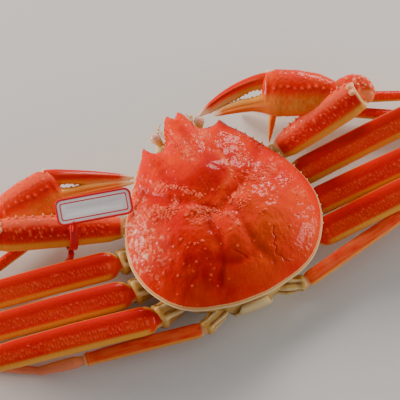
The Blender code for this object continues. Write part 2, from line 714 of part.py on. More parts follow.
def make_antenna(name, side, finish):
    """A short feeler with a stout base, beside the mouth."""
    root = np.array((side * 16.5, 54.0, 22.5))
    end = np.array((side * 9.5, 81.0, 33.0))
    via = np.array((side * 20.0, 72.0, 16.0))
    rings = []
    for place, radius in ((0.08, 2.2), (0.3, 2.3), (0.42, 1.3), (0.7, 0.9), (0.95, 0.5)):
        centre, tangent = bezier(root, via, end, place)
        rings.append([centre + offset for offset in
                      section(tangent, (0, 0, 1), radius, radius, 6, 2)])
    points, faces = loft(rings, root, end)
    add_object(name, points, faces, finish)
    return root


def make_mouthparts(finish):
    """The pair of flat outer jaw-feet that close the mouth, as one low block."""
    rings = []
    front = THORAX_SLICES[-1][0] + GAP
    for y, half, low, high in ((front, 10.5, 10.5, 26.0), (front + 4.0, 10.0, 11.0, 25.0),
                               (front + 7.0, 7.0, 13.0, 22.5)):
        middle = (low + high) / 2
        rise = (high - low) / 2
        rings.append([np.array((half * c, y, middle + rise * s)) for c, s in (
            (1.0, 0.6), (0.7, 1.0), (0.08, 1.0), (0.0, 0.86), (-0.08, 1.0), (-0.7, 1.0),
            (-1.0, 0.6), (-0.85, -0.7), (-0.5, -1.0), (0.5, -1.0), (0.85, -0.7))])
    points, faces = loft(rings)
    add_object("mouthparts", points, faces, finish)


# Tag: a plain plastic plate on the left claw, held by a strap round the merus.
TAG_CENTRE = (-78.5, 35.0, 48.8)
TAG_LENGTH = 54.0
TAG_HEIGHT = 19.0
TAG_THICKNESS = 1.2
TAG_TURN = math.radians(10.5)
STRAP_PLACE = 0.41
STRAP_WIDTH = 5.8
STRAP_THICKNESS = 1.1


def make_tag(joints, white, red):
    """The plate, and the strap that goes round the merus and up to the plate."""
    plane = ClawPlane(joints["palm"], joints["knuckle"])
    right = unit(np.cross(CLAW_RISE, plane.out))
    if right[0] < 0:
        right = -right
    rise = unit(np.cross(plane.out, right))
    if rise[1] < 0:
        rise = -rise
    along = right * math.cos(TAG_TURN) + rise * math.sin(TAG_TURN)
    across = rise * math.cos(TAG_TURN) - right * math.sin(TAG_TURN)
    out = unit(np.cross(along, across))
    centre = np.asarray(TAG_CENTRE, float)

    def plate(grow):
        """The plate's outline is a rectangle with round corners."""
        corner = 5.0 + grow
        outline = []
        for quarter in range(4):
            cx = (1, -1, -1, 1)[quarter] * (TAG_LENGTH / 2 - 5.0)
            cy = (1, 1, -1, -1)[quarter] * (TAG_HEIGHT / 2 - 5.0)
            for step in range(4):
                angle = math.pi / 2 * (quarter + step / 3)
                outline.append((cx + corner * math.cos(angle), cy + corner * math.sin(angle)))
        half = TAG_THICKNESS / 2 + grow
        return loft([[centre + along * x + across * y + out * level for x, y in outline]
                     for level in (-half, half)])

    add_object("tag_plate", *plate(0.0), white)

    start = np.asarray(joints["start"], float)
    end = np.asarray(joints["elbow"], float)
    via = (start + end) / 2 + (0.0, 0.0, 3.0)
    middle, tangent = bezier(start, via, end, STRAP_PLACE)
    up = (-0.143, -0.337, 0.93)
    sides = 16
    loops = []
    for outer in (False, True):
        for edge in (-0.5, 0.5):
            extra = 1.2 + (STRAP_THICKNESS if outer else 0.0)
            ring = section(tangent, up, CLAW_MERUS[0] + extra, CLAW_MERUS[1] + extra, sides, 2.6)
            loops.append([middle + tangent * edge * STRAP_WIDTH + offset for offset in ring])
    points = [point for loop in (loops[0], loops[1], loops[3], loops[2]) for point in loop]
    faces = []
    for row in range(4):
        for step in range(sides):
            after = (step + 1) % sides
            below = ((row + 1) % 4) * sides
            faces.append((row * sides + step, row * sides + after, below + after, below + step))
    top = middle + plane.out * (CLAW_MERUS[1] + 1.4)
    foot = centre - along * 16.0 - across * 7.0
    tab = tube_mesh(top, (top + foot) / 2, foot, (1.6, 0.8), tangent, 6, ((0.0, 1.0), (1.0, 1.0)))
    merge("tag_strap", (points, faces), [tab], [plate(GAP)], red)


def centre_on_floor():
    """Move everything so that the origin is the middle of the box, on the floor."""
    corners = []
    for made in bpy.context.scene.objects:
        if made.type == "MESH":
            corners += [vertex.co[:] for vertex in made.data.vertices]
    corners = np.array(corners)
    low = corners.min(axis=0)
    high = corners.max(axis=0)
    shift = ((low + high) / 2)
    shift[2] = low[2]
    for made in bpy.context.scene.objects:
        if made.type == "MESH":
            for vertex in made.data.vertices:
                vertex.co.x -= shift[0]
                vertex.co.y -= shift[1]
                vertex.co.z -= shift[2]


def main():
    clear_scene()
    shell = material("boiled_shell", SHELL, 0.3)
    pale = material("pale_shell", SHELL_PALE, 0.4)
    cream = material("cream_shell", CREAM, 0.4)
    brown = material("eye_brown", EYE_BROWN, 0.2)
    white = material("white_plastic", TAG_WHITE, 0.35)
    red = material("red_plastic", TAG_RED, 0.35)
    make_carapace(shell)
    sockets = []
    for name, joints in LEG_JOINTS.items():
        sizes = REAR_LEG if "leg4" in name else BIG_LEG
        sockets += make_leg(name, joints, sizes, shell, pale)
    for name, joints in CLAW_JOINTS.items():
        sockets.append(make_claw(name, joints, shell, pale))
    for side, word in ((-1, "left"), (1, "right")):
        sockets.append(ball_mesh(make_eye(f"eye_{word}", side, brown), EYE_STALK + 0.9, 8, 5))
        sockets.append(ball_mesh(make_antenna(f"antenna_{word}", side, cream), 3.9, 8, 5))
    make_thorax(sockets, pale)
    make_mouthparts(cream)
    add_object("abdomen", *abdomen_mesh(0.0), pale)
    make_tag(CLAW_JOINTS["claw_left"], white, red)
    centre_on_floor()


main()
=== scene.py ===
# %% [markdown]
# # A boiled snow crab
# The crab lies on its belly with its long legs folded beside it. A cooked crab is a hard shell
# in many pieces: a domed back, jointed legs, two claws. Each piece of shell is one object here,
# and every object is in metres, in the same frame as the CAD model.

# %% Load the frame
import math

import bpy
import numpy as np
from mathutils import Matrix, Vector


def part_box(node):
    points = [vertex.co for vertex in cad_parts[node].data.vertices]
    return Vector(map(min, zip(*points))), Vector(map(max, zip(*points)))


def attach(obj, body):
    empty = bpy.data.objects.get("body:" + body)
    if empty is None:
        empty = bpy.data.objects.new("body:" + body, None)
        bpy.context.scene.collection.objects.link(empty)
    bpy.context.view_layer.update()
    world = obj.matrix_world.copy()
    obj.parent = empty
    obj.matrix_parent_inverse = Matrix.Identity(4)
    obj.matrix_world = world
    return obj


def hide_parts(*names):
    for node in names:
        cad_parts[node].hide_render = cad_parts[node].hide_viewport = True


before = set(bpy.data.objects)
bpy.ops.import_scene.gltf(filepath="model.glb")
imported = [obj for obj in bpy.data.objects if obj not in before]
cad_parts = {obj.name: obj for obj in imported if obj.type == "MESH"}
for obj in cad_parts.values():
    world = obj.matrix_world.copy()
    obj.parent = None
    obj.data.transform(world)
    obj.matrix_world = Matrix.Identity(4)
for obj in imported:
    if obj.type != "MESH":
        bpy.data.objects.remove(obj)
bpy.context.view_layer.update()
low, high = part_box("carapace")
REAR_Y = -65.0
SHIFT = np.array((-500.0 * (low.x + high.x), REAR_Y - 1000.0 * low.y, 0.0))
print("CAD nodes:", len(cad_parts), "shift in mm:", SHIFT)

# %% [markdown]
# ## Three small tools
# The crab is measured in millimetres from the middle of its back: +Y is forward, +X is its right.
# `to_frame` turns such points into metres. `linear` turns a colour as painters write it, an sRGB
# hex value, into the linear light that shaders use. `add_node` adds one node with its links.


# %% Points, colours and nodes
def to_frame(points):
    """Turn millimetres in the crab's own axes into metres in the frame."""
    return (np.asarray(points, float) - SHIFT) * 0.001


def linear(hex_colour):
    """Turn an sRGB hex colour into linear RGBA."""
    values = [int(hex_colour[place:place + 2], 16) / 255 for place in (1, 3, 5)]
    light = [v / 12.92 if v <= 0.04045 else ((v + 0.055) / 1.055) ** 2.4 for v in values]
    return (*light, 1.0)


def fill(material, node, inputs):
    """Give the inputs of a node their values or links."""
    for name, value in inputs.items():
        if isinstance(value, bpy.types.NodeSocket):
            material.node_tree.links.new(value, node.inputs[name])
        else:
            node.inputs[name].default_value = value


def add_node(material, kind, inputs, **settings):
    """Add one node to a material: its settings, then values or links for its inputs."""
    node = material.node_tree.nodes.new(kind)
    for name, value in settings.items():
        setattr(node, name, value)
    fill(material, node, inputs)
    return node


print("main red of the shell in linear light:", [round(v, 3) for v in linear("#EA1200")[:3]])

# %% [markdown]
# ## Shell finishes
# Boiled crab shell is chitin and chalk: hard, opaque, wet on top. It takes a clear coat over a
# fairly rough base. Its red is never even, so the colour is laid in layers: a slow mix of orange
# and red, deep red where the shell is thick, ochre where it turns under, cream on rims and
# tubercle tips, and pink on granules, partly their own colour and partly painted highlight. The
# layers also carry painted light: deep red is painted shade in furrows, creases, grooves and
# folds, on the left of the back and in a shadow line on each hand; pink is painted glare on lit
# faces; and ochre paints light on the right rear of the back. The meshes carry these places in
# a colour attribute called `marks`: red channel = ochre, green = cream, blue = pink and painted
# highlight, alpha = deep red and painted shade.


# %% One recipe for every kind of shell
MIX_FACTOR, MIX_A, MIX_B, MIX_RESULT = 0, 6, 7, 2
# Sizes of the patterns, in cells for each metre, and depths of the relief, in metres.
BLOTCH_SCALE, FRECKLE_SCALE, GRAIN_SCALE, PORE_SCALE = 34.0, 330.0, 1150.0, 620.0
GRAIN_DEPTH, PORE_DEPTH = 0.0005, 0.0004


def new_material(name):
    """A material with nodes; returns it and its shader."""
    made = bpy.data.materials.new(name)
    made.use_nodes = True
    return made, made.node_tree.nodes["Principled BSDF"]


def layer(material, factor, below, above):
    """Lay one colour over another; returns the colour socket."""
    mixed = add_node(material, "ShaderNodeMix",
                     {MIX_FACTOR: factor, MIX_A: below, MIX_B: above}, data_type="RGBA")
    return mixed.outputs[MIX_RESULT]


def noise(material, place, scale, detail=2.0, roughness=0.5):
    """Cloudy noise at a place; returns the socket of its value."""
    node = add_node(material, "ShaderNodeTexNoise", {"Vector": place, "Scale": scale,
                                                     "Detail": detail, "Roughness": roughness})
    return node.outputs["Fac"]


def ranged(material, value, source=(0.0, 1.0), result=(0.0, 1.0)):
    """Carry a value from one range over to another; returns the socket of the result."""
    node = add_node(material, "ShaderNodeMapRange",
                    {"Value": value, "From Min": source[0], "From Max": source[1],
                     "To Min": result[0], "To Max": result[1]})
    return node.outputs["Result"]


def bump(material, height, strength, distance, **below):
    """Fine relief; below may hold the Normal of another. Returns the socket of its normal."""
    node = add_node(material, "ShaderNodeBump",
                    {"Height": height, "Strength": strength, "Distance": distance, **below})
    return node.outputs["Normal"]


def shell_finish(name, colours, roughness, coat, grain):
    """A shell material: colours are light, main, deep, ochre, cream and pink, in sRGB hex."""
    light, main, deep, ochre, cream, pink = [linear(colour) for colour in colours]
    made, shader = new_material(name)
    place = add_node(made, "ShaderNodeTexCoord", {}).outputs["Object"]
    marks = add_node(made, "ShaderNodeAttribute", {}, attribute_name="marks")
    channels = add_node(made, "ShaderNodeSeparateColor", {"Color": marks.outputs["Color"]})
    voronoi = add_node(made, "ShaderNodeTexVoronoi", {"Vector": place, "Scale": PORE_SCALE})
    pores = voronoi.outputs["Distance"]
    blotch = noise(made, place, BLOTCH_SCALE, 4.0, 0.6)
    freckle = noise(made, place, FRECKLE_SCALE, 3.0)
    colour = layer(made, ranged(made, blotch, (0.38, 0.62)), main, light)
    colour = layer(made, ranged(made, freckle, (0.52, 0.72), (0.0, 0.5)), colour, light)
    # Deep red from the marks is partly painted shade, and pink from them is partly painted
    # highlight.
    colour = layer(made, marks.outputs["Alpha"], colour, deep)
    colour = layer(made, ranged(made, pores, (0.28, 0.0), (0.0, 0.35)), colour, deep)
    for channel, paint in (("Red", ochre), ("Blue", pink), ("Green", cream)):
        colour = layer(made, channels.outputs[channel], colour, paint)
    fine = bump(made, noise(made, place, GRAIN_SCALE), grain, GRAIN_DEPTH)
    fill(made, shader, {
        "Base Color": colour,
        "Roughness": ranged(made, freckle, result=(roughness - 0.09, roughness + 0.12)),
        "Normal": bump(made, pores, grain, PORE_DEPTH, Normal=fine),
        "IOR": 1.5, "Specular IOR Level": 0.04, "Coat Weight": coat, "Coat Roughness": 0.13,
    })
    return made


# In each set the deep colour is partly painted shade, and the pink is partly painted highlight.
RED = ("#F23A00", "#EA1200", "#C40000", "#EC9E3C", "#F3DBAE", "#FF6E48")
boiled_shell = shell_finish("boiled_shell", RED, 0.45, 0.2, 0.4)
PALE = ("#E2B868", "#CB9444", "#7A3A10", "#B87828", "#EFDDB0", "#E8A078")
pale_cuticle = shell_finish("pale_cuticle", PALE, 0.5, 0.4, 0.4)
print("shell finishes:", boiled_shell.name, pale_cuticle.name)

# %% [markdown]
# ## Plastic and eyes
# The tag is moulded polypropylene: slightly waxy, so it is white with a soft gloss. Its rim, its
# line and the strap are the same plastic in red. A boiled eye turns from black to a milky pink
# with brown specks.


# %% Plastic and eye materials
WAVE_SCALE, WAVE_DEPTH = 160.0, 0.0004
WORN_SHARE = 0.94


def plastic(name, hex_colour, roughness):
    """Moulded polypropylene with the faint waviness of a moulded face."""
    made, shader = new_material(name)
    place = add_node(made, "ShaderNodeTexCoord", {}).outputs["Object"]
    waves = noise(made, place, WAVE_SCALE)
    shade = linear(hex_colour)
    worn = tuple(WORN_SHARE * value for value in shade[:3]) + (1.0,)
    fill(made, shader, {"Base Color": layer(made, waves, shade, worn), "Roughness": roughness,
                        "Normal": bump(made, waves, 0.15, WAVE_DEPTH), "IOR": 1.49})
    return made


tag_white = plastic("tag_white_polypropylene", "#FBF9F7", 0.35)
tag_red = plastic("red_polypropylene", "#E3000F", 0.42)
EYE = ("#E7A58C", "#D98A72", "#5A2416", "#C07A3C", "#F1DCC8", "#F3C4B0")
milky_eye = shell_finish("milky_eye", EYE, 0.2, 0.8, 0.1)
print("plastics:", tag_white.name, tag_red.name, "eye:", milky_eye.name)

# %% [markdown]
# ## Meshes as grids
# Shell pieces are tubes and domes, so nearly all of them are a grid of rings. A grid is easy to
# bend, to swell and to colour, because each point knows how far along and how far round it is.
# `Shell` collects grids and small cones and makes one object of them at the end. `Skin` is one
# grid with its marks; it can be pushed outward and strewn with granules.


# %% Curves, rings and normals
def unit(vector):
    """The same direction with a length of 1."""
    vector = np.asarray(vector, float)
    return vector / np.linalg.norm(vector, axis=-1, keepdims=True)


def smooth(low_edge, high_edge, value):
    """A soft step from 0 to 1; the edges may be given in either order."""
    share = np.clip((np.asarray(value, float) - low_edge) / (high_edge - low_edge), 0.0, 1.0)
    return share * share * (3.0 - 2.0 * share)


def bell(offset, width):
    """1 where there is no offset, falling off to both sides over about one width."""
    return np.exp(-(offset / width) ** 2)


def curve(start, via, end, places):
    """Points and directions of a quadratic curve."""
    start, via, end = (np.asarray(point, float) for point in (start, via, end))
    t = np.asarray(places, float)[:, None]
    points = (1 - t) ** 2 * start + 2 * t * (1 - t) * via + t ** 2 * end
    return points, unit(2 * (1 - t) * (via - start) + 2 * t * (end - via))


def table(rows, places, column=1, soften=0.04):
    """Read a column of a shape table at many places, with its corners rounded."""
    rows = np.asarray(rows, float)
    fine = np.linspace(rows[0, 0], rows[-1, 0], 801)
    raw = np.interp(fine, rows[:, 0], rows[:, column])
    reach = max(1, int(800 * soften))
    padded = np.pad(raw, reach, mode="edge")
    kernel = np.hanning(2 * reach + 3)[1:-1]
    soft = np.convolve(padded, kernel / kernel.sum(), mode="valid")
    return np.interp(places, fine, soft)


def ring_shape(sides, power):
    """Across and rise of a superellipse, each from -1 to 1."""
    angle = 2 * np.pi * np.arange(sides) / sides
    across = np.sign(np.cos(angle)) * np.abs(np.cos(angle)) ** (2 / power)
    rise = np.sign(np.sin(angle)) * np.abs(np.sin(angle)) ** (2 / power)
    return across, rise


def tube(points, directions, up, widths, depths, sides, power):
    """A grid of rings round a curve; returns the grid, and across and rise of its columns."""
    directions = np.broadcast_to(directions, points.shape)
    side = unit(np.cross(directions, np.asarray(up, float)))
    above = np.cross(side, directions)
    across, rise = ring_shape(sides, power)
    widths, depths = (np.broadcast_to(size, len(points))[:, None] for size in (widths, depths))
    grid = (points[:, None] + side[:, None] * (across * widths)[..., None]
            + above[:, None] * (rise * depths)[..., None])
    return grid, across, rise


def normals(grid):
    """Outward directions of a grid of rings."""
    around = np.roll(grid, -1, axis=1) - np.roll(grid, 1, axis=1)
    normal = np.cross(around, np.gradient(grid, axis=0))
    normal /= np.maximum(np.linalg.norm(normal, axis=-1, keepdims=True), 1e-9)
    outward = grid - grid.mean(axis=1, keepdims=True)
    return -normal if (normal * outward).sum() < 0 else normal


def bead_field(grid, beads):
    """Height of round beads over a grid; each is a centre, a radius and a height."""
    flat_grid = grid.reshape(-1, 3)
    field = np.zeros(len(flat_grid))
    for centre, radius, height in beads:
        near = np.abs(flat_grid[:, 0] - centre[0]) < radius
        gap = flat_grid[near] - centre
        mound = smooth(0.0, 1.0, 1.0 - (gap * gap).sum(axis=1) / radius ** 2)
        field[near] = np.maximum(field[near], height * mound)
    return field.reshape(grid.shape[:2])


print("tools for grids are ready")


# %% One object from many grids
# Marks are four numbers, in this order.
OCHRE, CREAM, PINK, DEEP = range(4)
PLAIN = (0.0, 0.0, 0.0, 0.0)
ALL_OCHRE, ALL_CREAM, ALL_DEEP = np.eye(4)[[OCHRE, CREAM, DEEP]]
# A cone's profile: places along it and sizes there, as shares of its length and radius.
CONE_STEPS = np.array((-0.35, 0.0, 0.2, 0.45, 0.7, 0.88, 0.97))
CONE_SIZES = np.array((1.25, 1.05, 0.86, 0.64, 0.42, 0.24, 0.1))
TALLY = {}
dice = np.random.default_rng(7)


class Shell:
    """Collects grids and cones for one piece of the crab, in millimetres."""

    def __init__(self, grid=None, marks=PLAIN, caps=True):
        self.points, self.faces, self.marks, self.count = [], [], [], 0
        if grid is not None:
            self.add(grid, marks, caps)

    def add(self, grid, marks, caps=True):
        """Add a grid of rings; caps close its first and last rings with a fan."""
        rows, sides = grid.shape[:2]
        marks = np.broadcast_to(np.asarray(marks, float), (rows, sides, 4))
        row = np.arange(rows - 1)[:, None] * sides
        column = np.arange(sides)
        after = (column + 1) % sides
        quads = np.stack([row + column, row + after, row + sides + after, row + sides + column],
                         axis=-1).reshape(-1, 4)
        points, colours, blocks = [grid.reshape(-1, 3)], [marks.reshape(-1, 4)], [quads]
        for number, ring in enumerate((0, rows - 1) if caps else ()):
            points.append(grid[ring].mean(axis=0)[None])
            colours.append(marks[ring].mean(axis=0)[None])
            fan = np.stack([ring * sides + after, ring * sides + column,
                            np.full(sides, rows * sides + number)], axis=1)
            blocks.append(fan if ring == 0 else fan[:, ::-1])
        edge = np.cross(grid[:, 1] - grid[:, 0], np.roll(grid, -1, axis=0)[:, 0] - grid[:, 0])
        flip = (edge[:-1] * normals(grid)[:-1, 0]).sum() < 0
        for faces in blocks:
            self.faces.append((faces[:, ::-1] if flip else faces) + self.count)
        self.points += points
        self.marks += colours
        self.count += sum(len(part) for part in points)

    def cone(self, root, direction, length, radius, mark, tip_mark, sides=9, lean=0.0):
        """A spine, tooth or tubercle with a rounded tip and a broad foot."""
        direction = unit(direction)
        helper = np.array((0.0, 0.0, 1.0)) if abs(direction[2]) < 0.9 else np.array((1.0, 0, 0))
        bend = np.cross(direction, helper)
        points = (np.asarray(root, float) + direction * (CONE_STEPS * length)[:, None]
                  + bend * (lean * np.clip(CONE_STEPS, 0, 1) ** 2 * length)[:, None])
        sizes = CONE_SIZES * radius
        share = smooth(0.2, 0.9, CONE_STEPS)[:, None, None]
        self.add(tube(points, direction, helper, sizes, sizes, sides, 2.0)[0],
                 np.asarray(mark, float) * (1 - share) + np.asarray(tip_mark, float) * share)

    def finish(self, name, material, slot, *nodes):
        """Make the object, ride it on the body and let it stand for its CAD nodes."""
        points = to_frame(np.concatenate(self.points)).astype(np.float32)
        mesh = bpy.data.meshes.new(name)
        faces = [face for part in self.faces for face in part.tolist()]
        mesh.from_pydata(points.tolist(), [], faces)
        colours = np.clip(np.concatenate(self.marks), 0.0, 1.0).astype(np.float32)
        layer_of_marks = mesh.color_attributes.new("marks", "FLOAT_COLOR", "POINT")
        layer_of_marks.data.foreach_set("color", colours.ravel())
        mesh.materials.append(material)
        mesh.shade_smooth()
        piece = bpy.data.objects.new(name, mesh)
        bpy.context.scene.collection.objects.link(piece)
        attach(piece, "root")
        if nodes:
            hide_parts(*nodes)
        TALLY[name] = sum(len(face) - 2 for face in faces)
        return piece


print("Shell can collect grids and cones")


# %% One grid with its marks
# How evenly a row of granules stands: how many columns it strays, their smallest and largest
# share of full size, and by how much their spacing varies.
LOOSE_ROW = (0.7, 0.75, 1.2, 0.25)


class Skin:
    """A grid, where each ring lies along it in mm, and each column across it, from -1 to 1."""

    def __init__(self, grid, run, across, rise):
        self.grid, self.run, self.across, self.rise = grid, run, across, rise
        self.marks = np.zeros((*grid.shape[:2], 4))
        self.beads = []

    def lift(self, channel, value):
        """Raise one kind of mark to a value where it is lower."""
        self.marks[..., channel] = np.maximum(self.marks[..., channel], value)

    def push(self, height):
        """Move the grid outward by a height in mm."""
        self.grid = self.grid + normals(self.grid) * height[..., None]

    def ring(self, place):
        """The ring nearest to a place along."""
        return int(np.argmin(np.abs(self.run - place)))

    def column(self, place, lowest=0.0):
        """The column nearest to a place across, among those that rise above the lowest."""
        face = np.where(self.rise > lowest)[0]
        return face[np.argmin(np.abs(self.across[face] - place))]

    def row(self, place_across, first, last, spacing, radius, height, looseness=LOOSE_ROW,
            lowest=0.0):
        """Set granules in a row, from its first to its last place along."""
        strays, smallest, largest, uneven = looseness
        column = self.column(place_across, lowest)
        place = first
        while place < last:
            ring = self.ring(place)
            shift = int(round(dice.normal(0, strays)))
            size = dice.uniform(smallest, largest)
            self.beads.append((self.grid[ring, (column + shift) % self.grid.shape[1]],
                               radius * size, height * size))
            place += spacing * dice.uniform(1 - uneven, 1 + uneven)

    def strew(self, band, ends, count, radius, height):
        """Strew fine granules over a band across, between two places along."""
        columns = np.where((self.rise > -0.2) & (self.across > band[0])
                           & (self.across < band[1]))[0]
        rings = np.where((self.run > ends[0]) & (self.run < ends[1]))[0]
        centres = [self.grid[dice.choice(rings), dice.choice(columns)] for _ in range(count)]
        sizes = dice.uniform(0.6, 1.2, count)
        self.beads += zip(centres, radius * sizes, height * sizes)

    def raise_beads(self, pink=1.0, cream=0.0):
        """Push the granules out of the shell and tint their tops: pink that is partly their own
        colour and partly painted highlight, and cream.
        """
        field = bead_field(self.grid, self.beads)
        share = field / max(height for _, _, height in self.beads)
        self.lift(PINK, pink * smooth(0.15, 0.8, share))
        self.lift(CREAM, cream * smooth(0.4, 0.95, share))
        self.marks[..., DEEP] *= 1 - 0.8 * smooth(0.1, 0.6, share)
        self.push(field)
        self.beads = []

    def finish(self, name, material, slot):
        """Make one object of this grid alone, in place of the CAD node of that name."""
        Shell(self.grid, self.marks).finish(f"{name}_skin", material, slot, name)


print("Skin can be pushed, strewn and marked")

# %% [markdown]
# ## The camera
# The photograph is taken from behind the crab's left side, high above it, from far away. The
# camera is placed two metres off with a long lens, so that 1 mm on the crab is 1.43 px.

# %% Camera
PIXELS_PER_MM = 1.43
AZIMUTH, ELEVATION = math.radians(-23.0), math.radians(68.47)
DISTANCE = 2.0
FRAME_PIXELS = 400
LOOKED_AT_MM = (-6.73, 15.87, 35.0)
back = Vector((math.sin(AZIMUTH) * math.cos(ELEVATION), -math.cos(AZIMUTH) * math.cos(ELEVATION),
               math.sin(ELEVATION)))
target = Vector(to_frame(LOOKED_AT_MM))
lens = bpy.data.cameras.new("camera")
lens.lens = lens.sensor_width * DISTANCE / (FRAME_PIXELS / PIXELS_PER_MM * 0.001)
lens.clip_end = 20.0
camera = bpy.data.objects.new("camera", lens)
camera.location = target + back * DISTANCE
camera.rotation_mode = "QUATERNION"
camera.rotation_quaternion = (-back).to_track_quat("-Z", "Y")
bpy.context.scene.collection.objects.link(camera)
bpy.context.scene.camera = camera
print("camera lens in mm:", round(lens.lens, 1))

# %% [markdown]
# ## The back shell
# The carapace is one domed plate. Its outline has a broad rostral plate with two short horns, a
# tooth beside each eye and a round rear. It is made as a polar grid: every ring is the outline
# scaled towards the middle, and its height is a dome with low swellings over the organs that
# once lay below: stomach in front, heart in the middle, gills at the sides.

# %% Outline of the carapace
RIM_HALF_WIDTHS = (
    (-64.5, 12.0), (-62.0, 25.0), (-58.0, 39.5), (-51.0, 51.5), (-40.0, 61.0),
    (-27.0, 67.5), (-12.0, 70.0), (3.0, 67.8), (18.0, 62.0), (32.0, 53.5),
    (46.0, 43.5), (54.0, 37.5),
)
# Corners of the front, each as x, y and the bow of the edge that follows it.
ORBITAL_TOOTH = ((32.5, 59.9, 0.3), (28.6, 66.2, -0.4))
LEFT_ORBIT = ((25.8, 62.3, -1.0), (19.8, 59.2, -0.9), (15.2, 60.0, -0.8))
RIGHT_ORBIT = ((25.8, 64.0, -0.5), (20.4, 63.4, -0.4), (14.6, 64.4, -0.5))
ROSTRAL_PLATE = ((11.2, 69.0, 0.3), (8.6, 76.0, 0.4), (4.1, 82.9, -0.3), (0.0, 78.0, 0.0))
MIDDLE = np.array((0.0, -8.0))
OUTLINE_STEP = 0.55


def spline(corners, steps):
    """A smooth open curve through corner points."""
    fine = []
    last = len(corners) - 1
    for index in range(last):
        p0, p1, p2, p3 = (corners[min(max(index + k, 0), last)] for k in (-1, 0, 1, 2))
        for step in range(steps):
            t = step / steps
            fine.append(0.5 * (2 * p1 + (p2 - p0) * t + (2 * p0 - 5 * p1 + 4 * p2 - p3) * t ** 2
                               + (3 * p1 - p0 - 3 * p2 + p3) * t ** 3))
    return np.array(fine + [corners[-1]])


def spaced(line, step):
    """Points evenly spaced along a line, without its last point."""
    run = np.concatenate([[0], np.cumsum(np.linalg.norm(np.diff(line, axis=0), axis=1))])
    count = max(2, round(run[-1] / step))
    places = np.linspace(0, run[-1], count, endpoint=False)
    return np.stack([np.interp(places, run, line[:, axis]) for axis in range(line.shape[1])], 1)


def front_edge(corners):
    """Half of the front, from the orbital tooth to the notch, with finely jagged edges."""
    edge = []
    for (x0, y0, bow), (x1, y1, _) in zip(corners[:-1], corners[1:]):
        first, last = np.array((x0, y0)), np.array((x1, y1))
        length = np.linalg.norm(last - first)
        normal = np.array((-(last - first)[1], (last - first)[0])) / length
        count = max(2, round(length / OUTLINE_STEP))
        for place in np.arange(count) / count:
            jag = 0.18 * math.sin(place * count * 2.6) if y1 > 60.0 else 0.0
            edge.append(first + (last - first) * place
                        - normal * (4 * bow * place * (1 - place) + jag))
    return np.array(edge + [np.array(corners[-1][:2])])


RIGHT_FRONT = front_edge(ORBITAL_TOOTH + RIGHT_ORBIT + ROSTRAL_PLATE)
LEFT_FRONT = front_edge(ORBITAL_TOOTH + LEFT_ORBIT + ROSTRAL_PLATE) * (-1, 1)


def carapace_outline():
    """The whole outline, from the notch round the right side and back."""
    corner = np.array(ORBITAL_TOOTH[0][:2])
    right = [corner] + [np.array((half, y)) for y, half in RIM_HALF_WIDTHS[::-1]]
    left = [place * (-1, 1) for place in right[::-1]]
    side = spaced(spline(right + [np.array((0.0, REAR_Y))] + left, 12), OUTLINE_STEP)[1:]
    return np.concatenate([RIGHT_FRONT[::-1], side, LEFT_FRONT])[:-1]


OUTLINE = carapace_outline()
shares = np.concatenate([np.linspace(0.012, 0.92, 160), np.linspace(0.92, 1.0, 26)[1:]])
flat = MIDDLE + (OUTLINE - MIDDLE)[None] * shares[:, None, None]
BACK_X, BACK_Y = flat[..., 0], flat[..., 1]
BACK_SHARE = np.broadcast_to(shares[:, None], BACK_X.shape)
print("carapace outline points:", len(OUTLINE), "rings:", len(shares))


# %% Height of the carapace
RIM_MIDDLE_Z, RIM_SLOPE = 34.0, 0.035
DOME_HEIGHT, DOME_SQUARENESS, DOME_STEEPNESS = 23.5, 2.3, 0.62
FRONT_SLOPE_MM = 18.0
# The outline's distances are evened out over so many half degrees to each side.
TOOTH_REACH, SMOOTHING = 16, 37
RING_ANGLES = np.linspace(0, 2 * np.pi, 720, endpoint=False)
LATTICE = (97, 89)
# Swellings: middle x, y, height and half-sizes along x and y.
SWELLINGS = (
    (31.0, -20.0, 6.5, 21.0, 25.0), (-31.0, -20.0, 6.5, 21.0, 25.0), (0.0, 24.0, 6.5, 19.0, 17.0),
    (0.0, -27.0, 5.0, 12.0, 15.0), (0.0, -52.0, 2.0, 16.0, 7.0), (0.0, 56.0, 2.0, 9.0, 10.0),
    (34.0, 18.0, 2.2, 13.0, 9.0), (-34.0, 18.0, 2.2, 13.0, 9.0),
    (17.0, -4.0, 1.8, 8.0, 6.0), (-17.0, 3.0, 1.8, 10.0, 5.0),
)
# Furrows between the regions: points, depth and half-width.
FURROWS = (
    (((-47, 36), (-30, 17), (-19, 9), (-9, 1), (0, -5), (9, 1), (19, 7), (30, 17), (47, 36)),
     1.3, 3.6),
    (((-10, -5), (-12, -14), (-9, -25), (-12, -38), (-20, -50)), 1.1, 3.4),
    (((10, -5), (12, -14), (10, -25), (13, -38), (20, -50)), 1.1, 3.4),
    (((-12, -40), (0, -43), (13, -39)), 0.6, 3.0),
    (((-24, 44), (-25, 34), (-22, 22)), 0.6, 3.4),
    (((0, 50), (0, 60), (0, 72)), 1.2, 3.4),
)
# Creases: points, depth and half-width.
CREASES = (
    (((29.0, -30), (26.6, -34), (27.2, -37), (24.4, -40.5), (25.4, -43), (23.4, -46.5),
      (26.6, -49), (27.6, -51.5), (30.6, -53)), 0.6, 0.5),
    (((24.4, -40.5), (22.5, -40), (21.0, -41.2)), 0.35, 0.45),
    (((-3.4, -35.4), (0, -38.5), (3.5, -42.4)), 0.5, 0.5),
    (((-9, -7), (-8.6, -14), (-7, -22)), 0.45, 0.6),
    (((5, 31), (7.5, 28.6), (9.5, 26)), 0.3, 0.5),
)


def rim_z(y):
    """Height of the rim, which climbs a little towards the front."""
    return RIM_MIDDLE_Z + RIM_SLOPE * (y + 12.0)


def away_from(line, x, y):
    """Distance of each place to a line of points."""
    line = np.asarray(line, float)
    best = np.full(np.shape(x), 1e9)
    for first, last in zip(line[:-1], line[1:]):
        run = last - first
        share = np.clip(((x - first[0]) * run[0] + (y - first[1]) * run[1]) / (run @ run), 0, 1)
        best = np.minimum(best, np.hypot(x - first[0] - share * run[0],
                                         y - first[1] - share * run[1]))
    return best


